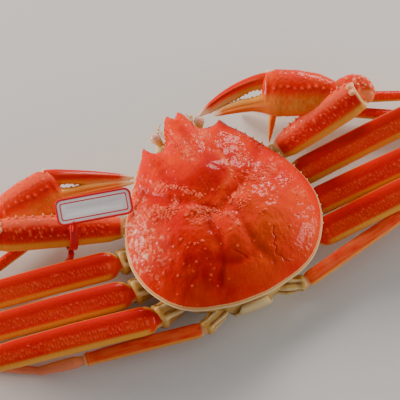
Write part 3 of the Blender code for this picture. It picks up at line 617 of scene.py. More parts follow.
def value_noise(x, y, cell, seed):
    """Soft irregular lumps between -1 and 1, about one cell wide."""
    lattice = np.random.default_rng(seed).uniform(-1, 1, LATTICE)
    u, v = np.asarray(x, float) / cell + 40.0, np.asarray(y, float) / cell + 40.0
    i, j = np.floor(u).astype(int), np.floor(v).astype(int)
    fu, fv = smooth(0, 1, u - i), smooth(0, 1, v - j)
    values = [[lattice[(i + a) % LATTICE[0], (j + b) % LATTICE[1]] for b in (0, 1)]
              for a in (0, 1)]
    near = values[0][0] * (1 - fv) + values[0][1] * fv
    far = values[1][0] * (1 - fv) + values[1][1] * fv
    return near * (1 - fu) + far * fu


def smooth_radii(widened):
    """Distance of the outline from the middle at each angle, smoothed; widened covers its teeth."""
    angles = np.arctan2(OUTLINE[:, 1] - MIDDLE[1], OUTLINE[:, 0] - MIDDLE[0]) % (2 * np.pi)
    order = np.argsort(angles)
    radii = np.interp(RING_ANGLES, angles[order], np.hypot(*(OUTLINE - MIDDLE).T)[order],
                      period=2 * np.pi)
    if widened:
        radii = np.max([np.roll(radii, move) for move in range(-TOOTH_REACH, TOOTH_REACH + 1)],
                       axis=0)
    kernel = np.hanning(2 * SMOOTHING + 1)
    around = np.concatenate([radii[-SMOOTHING:], radii, radii[:SMOOTHING]])
    return np.convolve(around, kernel / kernel.sum(), mode="valid")


def even_share():
    """Share of the way to the rim, with the horns and notches of the front evened out."""
    way = np.arctan2(BACK_Y - MIDDLE[1], BACK_X - MIDDLE[0]) % (2 * np.pi)
    reach = np.hypot(BACK_X - MIDDLE[0], BACK_Y - MIDDLE[1])
    inner, wide = (np.minimum(reach / np.interp(way, RING_ANGLES, smooth_radii(widened),
                                                period=2 * np.pi), 1.0)
                   for widened in (False, True))
    near_rim = smooth(0.8, 1.0, BACK_SHARE)
    side = inner * (1 - near_rim) + BACK_SHARE * near_rim
    # In front the lower of two heights counts: the dome's, and that of a slope up from the edge.
    over_dome = (1 - wide ** DOME_SQUARENESS) ** DOME_STEEPNESS
    closed = np.concatenate([OUTLINE[::3], OUTLINE[:1]])
    over_edge = np.minimum(away_from(closed, BACK_X, BACK_Y) / FRONT_SLOPE_MM,
                           1.0) ** DOME_STEEPNESS
    lower = over_dome * over_edge / (over_dome ** 4 + over_edge ** 4 + 1e-12) ** 0.25
    front = (1 - np.minimum(lower, 1.0) ** (1 / DOME_STEEPNESS)) ** (1 / DOME_SQUARENESS)
    weight = smooth(26.0, 50.0, BACK_Y)
    return side * (1 - weight) + front * weight


def blob(cx, cy, rx, ry):
    """A soft round spot on the back: 1 in its middle, with half-sizes along x and y."""
    return np.exp(-((BACK_X - cx) / rx) ** 2 - ((BACK_Y - cy) / ry) ** 2)


def cloud(cell, seed):
    """Soft irregular lumps all over the back."""
    return value_noise(BACK_X, BACK_Y, cell, seed)


def along_line(line, width, steps=6):
    """1 along a line on the back, falling off beside it."""
    return bell(away_from(spline(np.asarray(line, float), steps), BACK_X, BACK_Y), width)


def dome(share):
    """Height of the back; share is 0 in its middle and 1 on its rim."""
    height = (rim_z(BACK_Y) + DOME_HEIGHT
              * np.maximum(0.0, 1.0 - share ** DOME_SQUARENESS) ** DOME_STEEPNESS)
    fade = np.clip((1.0 - share) * 5.0, 0.0, 1.0)
    for cx, cy, top, rx, ry in SWELLINGS:
        height = height + fade * top * blob(cx, cy, rx, ry)
    for line, depth, width in FURROWS:
        height = height - fade * depth * along_line(line, width)
    return height


back_grid = np.dstack([BACK_X, BACK_Y, dome(even_share())])
print("carapace grid:", back_grid.shape, "highest point in mm:", round(back_grid[..., 2].max(), 1))

# %% [markdown]
# ## Warts of the back
# A snow crab's back is set with low warts: in close clusters beside the stomach and on the gill
# domes, in a bowed ridge behind the stomach, and here and there elsewhere. Scattering is random
# but seeded, so every run gives the same crab. Warts are mounds raised on the grid.

# %% Places of the warts
# Clusters: middle x, y, half-lengths along x and y, how many, radius and height in mm.
CLUSTERS = (
    (31.5, 28.5, 5.0, 6.0, 44, 0.85, 0.5), (34.0, 7.5, 6.0, 5.0, 50, 0.85, 0.5),
    (43.0, 12.5, 8.0, 5.5, 80, 0.85, 0.55), (53.0, 17.0, 6.0, 6.0, 50, 0.85, 0.5),
    (26.5, 13.0, 3.2, 4.0, 20, 0.85, 0.45), (16.0, -3.5, 9.0, 7.0, 80, 0.85, 0.55),
    (12.0, 57.0, 6.0, 9.0, 50, 0.8, 0.4), (-3.0, 47.0, 8.0, 11.0, 50, 0.8, 0.4),
)
# Ridges: points, spread, how many, radius and height in mm.
RIDGES = (
    (((-29, 29.5), (-20.2, 21.5), (-13.7, 14.5), (-8.2, 8.8)), 1.6, 56, 0.9, 0.7),
    (((-31, 9.6), (-19.3, 4.6), (-8.1, -1.7), (0, -7.5), (4.2, -12), (6.5, -20.6)), 1.6, 96,
     0.9, 0.75),
    (((17.4, 31), (18.2, 24), (17.6, 16), (12, 11)), 0.4, 9, 0.8, 0.3),
    (((31, 9.6), (19.3, 4.6), (8.1, -1.7)), 1.8, 40, 0.9, 0.65),
    (((-52, 26), (-42, 14), (-34, 8)), 3.4, 80, 1.0, 0.75),
    (((-57, 12), (-52, 0), (-56, -12)), 3.6, 60, 1.0, 0.5),
    (((-60, 16), (-63, 2), (-63, -16), (-58, -32)), 2.6, 60, 0.9, 0.45),
    (((-44, 42), (-52, 30), (-58, 18)), 2.6, 60, 0.9, 0.5),
    (((57, 8), (55, -4), (58, -14)), 4.4, 40, 1.0, 0.7),
    (((-40, 50), (-46, 40), (-52, 30)), 2.4, 60, 1.0, 0.7),
    (((38, 48), (45, 40), (51, 31)), 2.6, 40, 0.95, 0.65),
)
LARGE_WARTS = (
    (-45.5, -24.1), (-52.7, -29.3), (-44.7, -35.5), (-54.8, -16.9), (-33.9, -15.1),
    (-26.7, -22.0), (-21.2, -21.8), (46.7, -1.6), (52.8, -10.4), (57.0, -0.5), (39.0, -12.0),
    (45.0, -22.0), (-30.0, -33.0), (33.0, -8.0), (28.0, -18.0), (-38.0, -4.0), (0.0, -22.0),
    (0.0, -34.0), (0.0, 10.0), (40.0, -33.0), (-24.0, -44.0), (-38.0, -45.0), (50.0, -26.0),
)
LARGE_WART_SIZE, LONE_WART_SIZE = (1.35, 0.55), (1.0, 0.4)
LONE_WARTS = 230


def sides_of(cx):
    """Clusters away from the middle line stand on both sides."""
    return (1, -1) if abs(cx) > 10.0 else (1,)


def scatter_warts():
    """All warts as x, y, radius and height."""
    warts = [(x, y, *LARGE_WART_SIZE) for x, y in LARGE_WARTS]
    for cx, cy, rx, ry, count, radius, height in CLUSTERS:
        for side in sides_of(cx):
            angle = dice.uniform(0, 2 * np.pi, count)
            reach = np.sqrt(dice.uniform(0, 1, count))
            sizes = dice.uniform(0.7, 1.2, count)
            for a, r, size in zip(angle, reach, sizes):
                warts.append((side * (cx + rx * r * np.cos(a)), cy + ry * r * np.sin(a),
                              radius * size, height * size))
    for line, spread, count, radius, height in RIDGES:
        soft = spline(np.asarray(line, float), 10)
        places = dice.integers(0, len(soft), count)
        for place in places:
            offset = dice.normal(0, spread * 0.55, 2)
            size = dice.uniform(0.75, 1.25)
            warts.append((soft[place][0] + offset[0], soft[place][1] + offset[1],
                          radius * size, height * size))
    for _ in range(LONE_WARTS):
        x, y = dice.uniform(-66, 66), dice.uniform(-60, 52)
        size = dice.uniform(0.6, 1.1)
        over_stomach = abs(x) < 17 and 12 < y < 42
        if not over_stomach:
            warts.append((x, y, *(size * full for full in LONE_WART_SIZE)))
    return np.array(warts)


WARTS = scatter_warts()
print("warts on the back:", len(WARTS))


# %% Raise the warts and colour the back
# The rim turns under: share of the outline and drop in mm, ring by ring.
UNDER_RINGS = ((1.004, -0.5), (1.006, -1.2), (1.003, -2.0), (0.994, -2.7), (0.975, -3.0),
               (0.9, -3.0), (0.6, -3.0), (0.2, -3.0))
RIM_LINE = 0.988
# Soft spots on the back: weight, middle x, y and half-sizes along x and y. The two deep red
# spots on the left side are painted shade.
DEEP_SPOTS = ((1.0, -4.0, 26.0, 22.0, 17.0), (0.75, -34.0, -36.0, 24.0, 20.0),
              (0.6, -38.0, 2.0, 20.0, 24.0), (0.5, 3.0, -31.0, 9.0, 9.0),
              (0.5, 20.0, 34.0, 14.0, 12.0))
# The pink spots on the front plate are painted highlights.
PAINTED_HIGHLIGHT_SPOTS = ((0.4, 12.6, 57.0, 5.0, 9.0), (0.35, -3.0, 49.0, 4.5, 12.0))
SMOOTH_SPOT = (-3.0, 27.0, 17.0, 13.0)
# The orange spot on the right rear is mostly painted light, and partly the shell's own orange.
ORANGE_AND_LIGHT_SPOT = (34.0, -30.0, 26.0, 26.0)
ORANGE_LINE = ((15.5, 38), (17.1, 29), (17.9, 18), (14, 13), (8, 10))
BEHIND_EYES = smooth(58.0, 44.0, BACK_Y)


def height_at(x, y):
    """Height of the back under a wart: that of the nearest grid point."""
    flat_grid = back_grid.reshape(-1, 3)
    return np.array([flat_grid[np.argmin((flat_grid[:, 0] - a) ** 2 + (flat_grid[:, 1] - b) ** 2),
                               2] for a, b in zip(x, y)])


def spots(places):
    """The sum of several weighted spots."""
    return sum(weight * blob(*place) for weight, *place in places)


def back_marks(beads, crease_depth):
    """Marks of the back: pink wart tops, partly painted highlight; painted glare on the left flank;
    painted highlights on the front plate; painted shade in the furrows, the creases and on the left
    side; painted light on the right rear; and a pale rim.
    """
    furrow = np.max([along_line(line, 1.1 * width) for line, _, width in FURROWS], axis=0)
    warty = sum(blob(side * cx, cy, rx, ry) for cx, cy, rx, ry, *_ in CLUSTERS
                for side in sides_of(cx))
    warty = warty + sum(along_line(line, spread + 1.0) for line, spread, *_ in RIDGES)
    # The pink and cream over the left flank, flecked, are painted glare, and the flecks also paint
    # glints over the wart clusters.
    flank = smooth(-36.0, -58.0, BACK_X) * smooth(-34.0, -4.0, BACK_Y)
    painted_glints = smooth(0.25, 0.8, cloud(1.6, 21) + 0.6 * cloud(4.0, 22))
    pale_edge = 0.6 * bell(BACK_SHARE - RIM_LINE, 0.0028) + 0.8 * smooth(0.996, 1.0, BACK_SHARE)
    marks = np.zeros((*BACK_X.shape, 4))
    # Pink on the wart tops is partly their own paler colour and partly painted highlight.
    marks[..., PINK] = (np.clip(0.9 * beads, 0, 0.5) + 0.5 * painted_glints * np.clip(warty, 0, 1)
                        + (0.3 + 0.5 * painted_glints) * flank + spots(PAINTED_HIGHLIGHT_SPOTS))
    marks[..., CREAM] = BEHIND_EYES * np.clip(pale_edge, 0, 1) + 0.4 * painted_glints * flank
    marks[..., OCHRE] = BEHIND_EYES * smooth(0.985, 0.99, BACK_SHARE)
    # Deep red in the furrows and creases is painted shade, and so is the deep red mottle that fades
    # out towards the right.
    deep = (spots(DEEP_SPOTS) + 0.6 * furrow + 1.6 * crease_depth
            + 0.35 * cloud(7.0, 11) * smooth(40.0, 0.0, BACK_X))
    marks[..., DEEP] = np.clip(deep, 0, 0.92) * (1 - np.clip(1.6 * beads, 0, 0.8))
    for strength, place in ((0.14, along_line(ORANGE_LINE, 2.0, 8)), (0.12, blob(*ORANGE_AND_LIGHT_SPOT))):
        marks[..., OCHRE] += strength * place
        marks[..., DEEP] *= 1 - 0.7 * place
    return marks


def make_carapace():
    """The domed back with its warts, furrows, creases and rounded rim."""
    normal = normals(back_grid)
    if normal[0, :, 2].mean() < 0:
        normal = -normal
    x, y, radii, heights = WARTS.T
    beads = bead_field(back_grid, zip(np.column_stack([x, y, height_at(x, y)]), radii, heights))
    calm = smooth(1.0, 0.985, BACK_SHARE)
    crease_depth = sum(depth * along_line(line, width) for line, depth, width in CREASES)
    grid = back_grid + normal * (beads * calm - crease_depth)[..., None]
    lumps = 0.55 * cloud(9.0, 3) + 0.3 * cloud(4.2, 4) + 0.16 * cloud(2.0, 5)
    grid[..., 2] += lumps * calm * (1 - 0.8 * blob(*SMOOTH_SPOT))
    grid[..., 2] += 0.3 * bell(BACK_SHARE - RIM_LINE, 0.004) * BEHIND_EYES
    under = []
    for scale, drop in UNDER_RINGS:
        ring = MIDDLE + (OUTLINE - MIDDLE) * scale
        under.append(np.column_stack([ring, rim_z(ring[:, 1]) + drop]))
    under_marks = np.zeros((len(UNDER_RINGS), len(OUTLINE), 4))
    under_marks[..., CREAM] = 0.9
    under_marks[4:, :, CREAM] = 0.3
    under_marks[4:, :, OCHRE] = 0.7
    return Shell(np.concatenate([grid, np.array(under)]),
                 np.concatenate([back_marks(beads, crease_depth), under_marks]))


carapace_shell = make_carapace()
print("points in the back:", carapace_shell.count)

# %% [markdown]
# ## Teeth of the rim
# Small pointed teeth stand along the side margins in front, and rounded granules edge the rim
# all the way round the rear. They are cones and beads added to the same object, rooted in it.


# %% Marginal teeth and rim granules
GRANULE_STEP, TOOTH_EVERY = 2.3, 3
TOOTH_RADIUS, GRANULE_LENGTH, GRANULE_RADIUS = 1.25, 0.75, 0.95
# Edges of the front that carry small teeth: both ends and how many.
FRONT_TEETH = (((11.0, 70.0), (4.6, 82.0), 6), ((15.0, 61), (11, 69), 3),
               ((33.5, 58.0), (29.2, 65.4), 3))


def dress_rim(piece):
    """Set teeth and granules along the rim, and small teeth on the edges of the front."""
    run = np.concatenate([[0], np.cumsum(np.linalg.norm(np.diff(OUTLINE, axis=0), axis=1))])
    for number, place in enumerate(np.arange(0.0, run[-1], GRANULE_STEP)):
        x, y = OUTLINE[int(np.searchsorted(run, place)) % len(OUTLINE)]
        if y > 56.0:
            continue
        outward = unit(np.array((x, y)) - MIDDLE)
        root = np.array((x * 0.992, y * 0.992 - 0.06, rim_z(y) - 0.6))
        direction = (outward[0], outward[1], 0.45)
        if y > -34.0 and number % TOOTH_EVERY == 0:
            length = 1.5 + 1.3 * smooth(-30.0, 45.0, y) + 0.4 * math.sin(place)
            piece.cone(root, direction, length, TOOTH_RADIUS, (0.2, 0.2, 0.5, 0), ALL_CREAM)
        else:
            piece.cone(root, direction, GRANULE_LENGTH, GRANULE_RADIUS, (0.1, 0.6, 0.3, 0),
                       ALL_CREAM, sides=7)
    for side in (1, -1):
        for first, last, teeth in FRONT_TEETH:
            for place in (np.arange(teeth) + 0.5) / teeth:
                x, y = np.array(first) + (np.array(last) - first) * place
                lean = unit((side * 1.0, 0.35 + 0.3 * math.sin(9 * place), 0.2))
                piece.cone((side * x, y, rim_z(y) - 0.7), lean, 1.3, 0.9, (0, 0.2, 0.5, 0),
                           ALL_CREAM, sides=7)


dress_rim(carapace_shell)
carapace_shell.finish("carapace_skin", boiled_shell, "red_shell", "carapace")
print("carapace triangles:", TALLY["carapace_skin"])

# %% [markdown]
# ## Legs
# A walking leg has five segments in view: a short pale hip, a long flat merus, a bent carpus, a
# slim propodus and a pointed dactyl. Each is a tube round a curve. Its front half is deep red,
# two rows of granules run along its top, their pink tops partly their own colour and partly
# painted highlight, and it turns ochre below and along its rear edge.

# %% Shapes of leg segments
# Each shape: how far along, and the share of full width there.
MERUS_SHAPE = ((0.0, 0.63), (0.008, 0.74), (0.018, 0.84), (0.032, 0.92), (0.05, 0.97),
               (0.08, 1.0), (0.45, 1.0), (0.8, 0.94), (0.97, 0.84), (1.0, 0.74))
CARPUS_SHAPE = ((0.0, 0.74), (0.35, 0.92), (0.72, 1.0), (0.94, 0.92), (1.0, 0.8))
REAR_CARPUS_SHAPE = ((0.0, 0.8), (0.2, 1.1), (0.6, 1.0), (0.94, 0.84), (1.0, 0.8))
PROPODUS_SHAPE = ((0.0, 0.9), (0.25, 1.0), (0.7, 0.94), (0.97, 0.86), (1.0, 0.75))
HIP_SHAPE = ((0.0, 0.9), (0.5, 1.0), (0.92, 1.0), (1.0, 0.9))
DACTYL_SHAPE = ((0.0, 0.9), (0.2, 1.0), (0.55, 0.8), (0.85, 0.42), (0.97, 0.16), (1.0, 0.06))
COLLAR_MM = 2.2
BALL_ANGLES = np.radians((14, 32, 50, 66, 80, 92))
BALL_SHARE = 0.35
# The lip that closes a segment: share of its last width, and mm beyond its end.
LIP = np.array(((0.96, 0.35), (0.86, 0.5), (0.76, 0.2), (0.7, -1.2), (0.6, -2.4)))


def limb_skin(limb, sides, step, front=1, power=2.4, tip=False):
    """Skin of a leg segment, from ball to lip, and its length; places across grow to the front.

    A limb is its start, via and end, its half-sizes, its up direction, its ball and its shape;
    front is +1 where the tube's own columns already run that way, and else -1."""
    start, via, end, size, up, ball, shape = limb
    start, via, end = (np.asarray(point, float) for point in (start, via, end))
    length = np.linalg.norm(end - start)
    barrel = BALL_SHARE * ball / length
    places = np.linspace(0.0, 1.0, max(14, round(length / step)))
    share = table(shape, places, soften=0.012)
    if not tip:
        before_end = (1 - places) * length / COLLAR_MM
        share = share * (1 + 0.05 * bell(before_end - 0.8, 1.0)
                         - 0.05 * bell(before_end - 2.2, 1.0))
    points, directions = curve(start, via, end, barrel + (1 - barrel) * places)
    widths, depths = size[0] * share, size[1] * share
    ball_points = start - directions[0] * (ball * np.cos(BALL_ANGLES))[:, None]
    ball_sizes = ball * np.sin(BALL_ANGLES)
    grid, across, rise = tube(points, directions, up, widths, depths, sides, power)
    blocks = [tube(ball_points, directions[0], up, ball_sizes, ball_sizes, sides, 2.0)[0], grid]
    runs = [np.linspace(-5, -0.5, len(BALL_ANGLES)), places * length]
    if not tip:
        scale, beyond = LIP.T
        blocks.append(tube(end + directions[-1] * beyond[:, None], directions[-1], up,
                           widths[-1] * scale, depths[-1] * scale, sides, power)[0])
        runs.append(np.full(len(LIP), length + 1.0))
    return Skin(np.concatenate(blocks), np.concatenate(runs), across * front, rise), length


def paint_limb(skin, length, deep=0.75, ochre_from=-0.5, tip=False):
    """Marks of a segment: deep red in front, ochre at the rear, below and at its joints."""
    forward, above, along = skin.across[None], skin.rise[None], skin.run[:, None]
    under = smooth(0.12, -0.4, above)
    rear = smooth(ochre_from, ochre_from - 0.2, forward) * smooth(0.97, 0.8, above)
    joint = smooth(2.3, 0.5, along) + smooth(length - 1.6, length - 0.2, along)
    if tip:
        joint = smooth(1.6, -0.4, along) + 0.8 * smooth(0.86 * length, length, along)
    joint = np.clip(joint, 0, 1)
    front_edge_glow = 0.4 * smooth(0.95, 1.0, forward)
    skin.marks[..., OCHRE] = np.clip(np.maximum(under, rear) + front_edge_glow, 0, 1)
    skin.marks[..., DEEP] = deep * smooth(0.1, 0.42, forward) * smooth(-0.15, 0.15, above)
    skin.lift(OCHRE, joint)
    skin.marks[..., DEEP] *= 1 - joint
    skin.marks[..., CREAM] = 0.45 * joint * smooth(-3.0, 0.4, along)


print("leg tools are ready")

# %% [markdown]
# ## Eight walking legs
# The joint places are those of the CAD model, so each skin lies on its solid. The first three
# pairs are stout and flat; the last pair is slim. The distal segments are folded back under the
# long ones, as a cook folds a crab to fit its tray.

# %% Joints of the legs: hip, merus start, knee, knee bend, carpus end, propodus end, tip
LEG_JOINTS = {
    "leg1_left": ((-49, 0, 18), (-75, -1, 22), (-206, 9, 38), (-217, 24, 18), (-178, 27, 11),
                  (-82, 54, 11), (-54, 62, 1.6)),
    "leg2_left": ((-50, -22, 18), (-75, -25, 22), (-204, -14, 38), (-215, -9, 8),
                  (-176, -5.5, 9.5), (-86, -17, 8), (-54, -19, 1.6)),
    "leg3_left": ((-45, -42, 18), (-66, -49, 22), (-191, -37, 37), (-202, -32, 16.5),
                  (-163, -29.5, 17), (-80, -40.5, 8), (-52, -41, 1.6)),
    "leg4_left": ((-20, -58, 18), (-38, -67.5, 17), (-123, -54, 11), (-140, -51, 10.5),
                  (-154, -48, 7), (-192, -27, 3.6), (-212, -17, 1.2)),
    "leg1_right": ((43, 9, 16), (61, 11.5, 20), (203, 17, 42), (211, 33, 22), (166, 40, 12),
                   (73, 67, 31), (61, 49, 1.6)),
    "leg2_right": ((44, -13.5, 16), (61, -13, 20), (200, -12, 39), (208, -3, 10), (167, 22, 10),
                   (80, 68, 10), (54.6, 80, 1.6)),
    "leg3_right": ((41, -36, 16.5), (58, -36, 20), (193, -31, 39), (204, -26, 6), (166, -21, 10),
                   (80, -29, 8), (52, -31, 1.6)),
    "leg4_right": ((20, -60, 20), (38, -64, 20), (123, -44.5, 21), (140, -41, 18),
                   (153, -38, 13), (196, -31, 8), (223, -27, 1.2)),
}
# Half-widths and half-depths of the segments, and the balls of the joints before them, in mm.
BIG_LEG = {"hip": (7.6, 7.0), "merus": (10.3, 7.0), "carpus": (7.2, 5.8), "propodus": (4.0, 5.4),
           "dactyl": (2.9, 3.4), "joints": (6.8, 6.4, 6.0, 4.6, 3.2)}
REAR_LEG = {"hip": (5.0, 4.8), "merus": (5.4, 4.5), "carpus": (4.4, 3.8), "propodus": (3.0, 3.4),
            "dactyl": (2.0, 2.4), "joints": (4.6, 4.0, 3.4, 3.0, 2.2)}
LEG_UP = unit((0.0, -0.42, 1.0))
HIP_WIDENING = 1.12
LEG_STEP, HIP_STEP = 0.62, 0.6
# Granules of the long segment: places across of its two rows, then those of the bow at its
# root, each with its place along in mm.
MERUS_ROWS = (0.1, -0.24)
MERUS_BOW = ((0.06, 8.0), (0.01, 7.2), (-0.07, 6.8), (-0.15, 7.2), (-0.2, 8.0))


def dress_big_merus(skin, length):
    """A stout merus: two granule rows that meet in a bow, and a pale groove between them."""
    run, across, marks = skin.run[:, None], skin.across[None], skin.marks
    bow = np.hypot(np.clip(5.0 - run, 0, 12) / 9.5, across + 0.02)
    at_root = smooth(9.0, 4.0, run)
    marks[..., CREAM] *= 1 - smooth(20, 10, run)
    root_ochre = np.maximum(smooth(0.12, -0.4, skin.rise)[None],
                            at_root * smooth(0.78, 0.92, bow) + (1 - at_root) * marks[..., OCHRE])
    marks[..., OCHRE] = np.where(run < 10.0, root_ochre, marks[..., OCHRE])
    skin.lift(CREAM, 0.8 * at_root * smooth(0.96, 1.06, bow))
    marks[..., DEEP] *= 1 - 0.9 * at_root * smooth(0.7, 0.85, bow)
    high, second = MERUS_ROWS
    skin.strew((second, high), (10, length - 6), count=150, radius=0.65, height=0.16)
    skin.strew((-0.75, second), (6, length - 5), count=330, radius=0.65, height=0.15)
    skin.raise_beads(pink=0.1)
    for place in MERUS_ROWS:
        skin.row(place, 9, length - 6, spacing=2.1, radius=0.8, height=0.42)
    for place, reach in MERUS_BOW:
        skin.row(place, reach, reach + 1, spacing=2.0, radius=0.95, height=0.45)
    skin.raise_beads(pink=0.6)
    groove = smooth(0.12, 0.0, np.abs(across + 0.07)) * (skin.rise > 0)
    strip = groove * smooth(8, 13, run) * smooth(length - 5, length - 12, run)
    skin.push(-0.45 * strip)
    skin.lift(PINK, 0.16 * strip)
    marks[..., DEEP] *= 1 - strip


def dress_slim_merus(skin, length, front):
    """The rear leg's merus: a double collar at its knee and faint pink streaks."""
    run = skin.run[:, None]
    collar = bell(run - length + 2.6, 0.9) + 0.6 * bell(run - length + 5.0, 0.8)
    skin.push(0.55 * collar)
    skin.lift(OCHRE, 0.35 * collar)
    streaks = value_noise(run / 7.0, 5.0 * front * skin.across[None], 1.0, 41)
    skin.lift(PINK, 0.25 + 0.2 * streaks)
    skin.lift(OCHRE, 0.12 + 0.15 * streaks)
    skin.marks[..., DEEP] *= 0.3


def make_merus(name, limb, front, big):
    """The long flat segment of a leg."""
    skin, length = limb_skin(limb, 64 if big else 40, LEG_STEP, front)
    paint_limb(skin, length, deep=0.8 if big else 0.2, ochre_from=-0.44)
    if big:
        dress_big_merus(skin, length)
    else:
        dress_slim_merus(skin, length, front)
    skin.finish(name, boiled_shell, "red_shell")


def make_hip(name, limb):
    """The pale hip: short rings of cuticle, with painted shade in the creases between them."""
    skin, length = limb_skin(limb, 40, HIP_STEP)
    run = skin.run[:, None]
    angle = np.arctan2(skin.rise, skin.across)[None] + 0.02 * run
    pleats = 0.6 * np.sin(6 * angle) + 0.4 * np.sin(11 * angle + 1.3)
    pleats = pleats * smooth(-4, 1, run) * smooth(length + 1, length - 5, run)
    skin.push(pleats + 0.5 * np.sin(run * np.pi / 9.0))
    below = smooth(0.1, -0.4, skin.rise)[None]
    # Deep brown and ochre in the hollows of the pleats are painted shade; the crests are cream.
    skin.marks[..., DEEP] = 0.95 * smooth(-0.1, -0.6, pleats)
    skin.marks[..., OCHRE] = 0.5 * below + 0.3 * smooth(0.2, -0.2, pleats)
    skin.marks[..., CREAM] = 0.5 * smooth(0.1, 0.6, pleats)
    skin.finish(name, pale_cuticle, "pale_shell")


def make_slim_segment(name, limb, front, rows, tip=False, deep=0.5):
    """Carpus, propodus or dactyl: a smaller tube with one or two fine granule rows."""
    skin, length = limb_skin(limb, 40, LEG_STEP, front, tip=tip)
    paint_limb(skin, length, deep=deep, ochre_from=-0.55, tip=tip)
    for place in rows:
        skin.row(place, 3.0, length - 3.5, spacing=2.6, radius=0.9, height=0.3)
    skin.strew((-0.7, 0.7), (3, length - 3), count=40, radius=0.7, height=0.16)
    skin.raise_beads(pink=0.6)
    if "leg4" in name:
        skin.marks[..., OCHRE] = 0.25 + 0.25 * smooth(0.1, -0.5, skin.rise)[None]
        skin.marks[..., CREAM] = 0.22
        skin.marks[..., DEEP] = 0.0
    elif tip:
        skin.lift(OCHRE, np.maximum(0.9 * smooth(0.45, 0.85, np.abs(skin.across)), 0.3)[None])
    skin.finish(name, boiled_shell, "red_shell")


def make_leg(name, joints, sizes):
    """All five segments of one leg; each limb ends where the next begins."""
    hip, start, knee, bend, carpus_end, propodus_end, tip = (np.array(p, float) for p in joints)
    balls = sizes["joints"]
    big = sizes is BIG_LEG
    bow = np.array((0.0, 0.0, 5.0 if big else 2.0))
    bend_axis = unit(np.cross(bend - knee, carpus_end - bend))
    outward = -1 if "left" in name else 1
    folded = outward if big else -outward
    make_hip(f"{name}_hip", (hip, (hip + start) / 2, start,
                             [HIP_WIDENING * size for size in sizes["hip"]], LEG_UP, balls[0],
                             HIP_SHAPE))
    make_merus(f"{name}_merus", (start, (start + knee) / 2 + bow, knee, sizes["merus"], LEG_UP,
                                 balls[1], MERUS_SHAPE), -outward, big)
    make_slim_segment(f"{name}_carpus", (knee, bend, carpus_end, sizes["carpus"], bend_axis,
                                         balls[2], CARPUS_SHAPE if big else REAR_CARPUS_SHAPE),
                      outward, (0.4, -0.3))
    make_slim_segment(f"{name}_propodus", (carpus_end, (carpus_end + propodus_end) / 2,
                                           propodus_end, sizes["propodus"], LEG_UP, balls[3],
                                           PROPODUS_SHAPE), folded, (0.5, -0.4))
    make_slim_segment(f"{name}_dactyl", (propodus_end, (propodus_end + tip) / 2 + (0.0, 0.0, 1.5),
                                         tip, sizes["dactyl"], LEG_UP, balls[4], DACTYL_SHAPE),
                      folded, (0.3,), tip=True, deep=0.3)


for leg_name, leg_joints in LEG_JOINTS.items():
    make_leg(leg_name, leg_joints, REAR_LEG if "leg4" in leg_name else BIG_LEG)
print("leg pieces:", len(TALLY) - 1, "triangles so far:", sum(TALLY.values()))

# %% [markdown]
# ## Claws
# A claw's hand is a flattened egg. Its upper half is red with rows of tubercles, their pink tops
# partly their own colour and partly painted highlight; pink glare is painted on its upper face,
# stronger on the left claw, and a deep red band of painted shadow runs a little above its middle.
# Its lower half is orange and ochre. The lower finger grows from the hand; the upper one is
# hinged to it. Their meeting edges carry low cream teeth, and both tips are pale.

# %% The plane of a claw
CLAW_RISE = unit((0.363, 0.856, 0.367))
# Half-widths and half-depths in mm; the shapes give both of them at places along.
CLAW_MERUS = (12.0, 9.2)
CLAW_HIP = (6.8, 6.4)
CLAW_CARPUS = (10.0, 9.5)
PALM_SHAPE = ((0.0, 7.0, 6.2), (4.0, 10.0, 8.0), (14.0, 14.0, 9.6), (28.0, 16.2, 10.2),
              (44.0, 16.6, 9.6), (51.0, 13.5, 7.6))
FINGER_SHAPE = ((0.0, 5.6, 5.2), (0.1, 5.6, 5.4), (0.4, 4.4, 4.5), (0.65, 3.4, 3.5),
                (0.88, 2.2, 2.2), (0.98, 1.2, 1.1), (1.0, 0.5, 0.5))
THUMB_SHAPE = ((0.0, 10.5, 8.8), (0.1, 9.0, 8.0), (0.2, 6.6, 6.5), (0.34, 4.5, 5.1),
               (0.65, 3.2, 3.7), (0.88, 2.1, 2.2), (0.98, 1.2, 1.1), (1.0, 0.5, 0.5))
CLAW_JOINTS = {
    "claw_left": {
        "hip": (-44, 19, 17.5), "start": (-62, 22.5, 21), "elbow": (-149, 45.5, 38.5),
        "carpus": ((-157.6, 45.5, 40), (-172, 54.5, 34.5), (-148, 61.6, 25.6)),
        "palm": (-146.1, 60.1, 27.1), "knuckle": (-97.4, 65.2, 29.9),
        "finger": ((49, 9.5), (76, -3), (103, -19.5)),
        "thumb": ((42, -5.5), (68, -10.5), (102, -22.5)),
    },
    "claw_right": {
        "hip": (42, 24, 18.5), "start": (60.5, 32.5, 25), "elbow": (123.4, 36.6, 60),
        "carpus": ((126.5, 36, 53), (131, 47, 51.5), (111, 46.8, 52)),
        "palm": (111.3, 45.6, 52.3), "knuckle": (64.3, 67.0, 51.2),
        "finger": ((49, 9), (76, 4.5), (98, -17.5)),
        "thumb": ((43, -6.5), (70, -9.5), (87, -16.5)),
    },
}


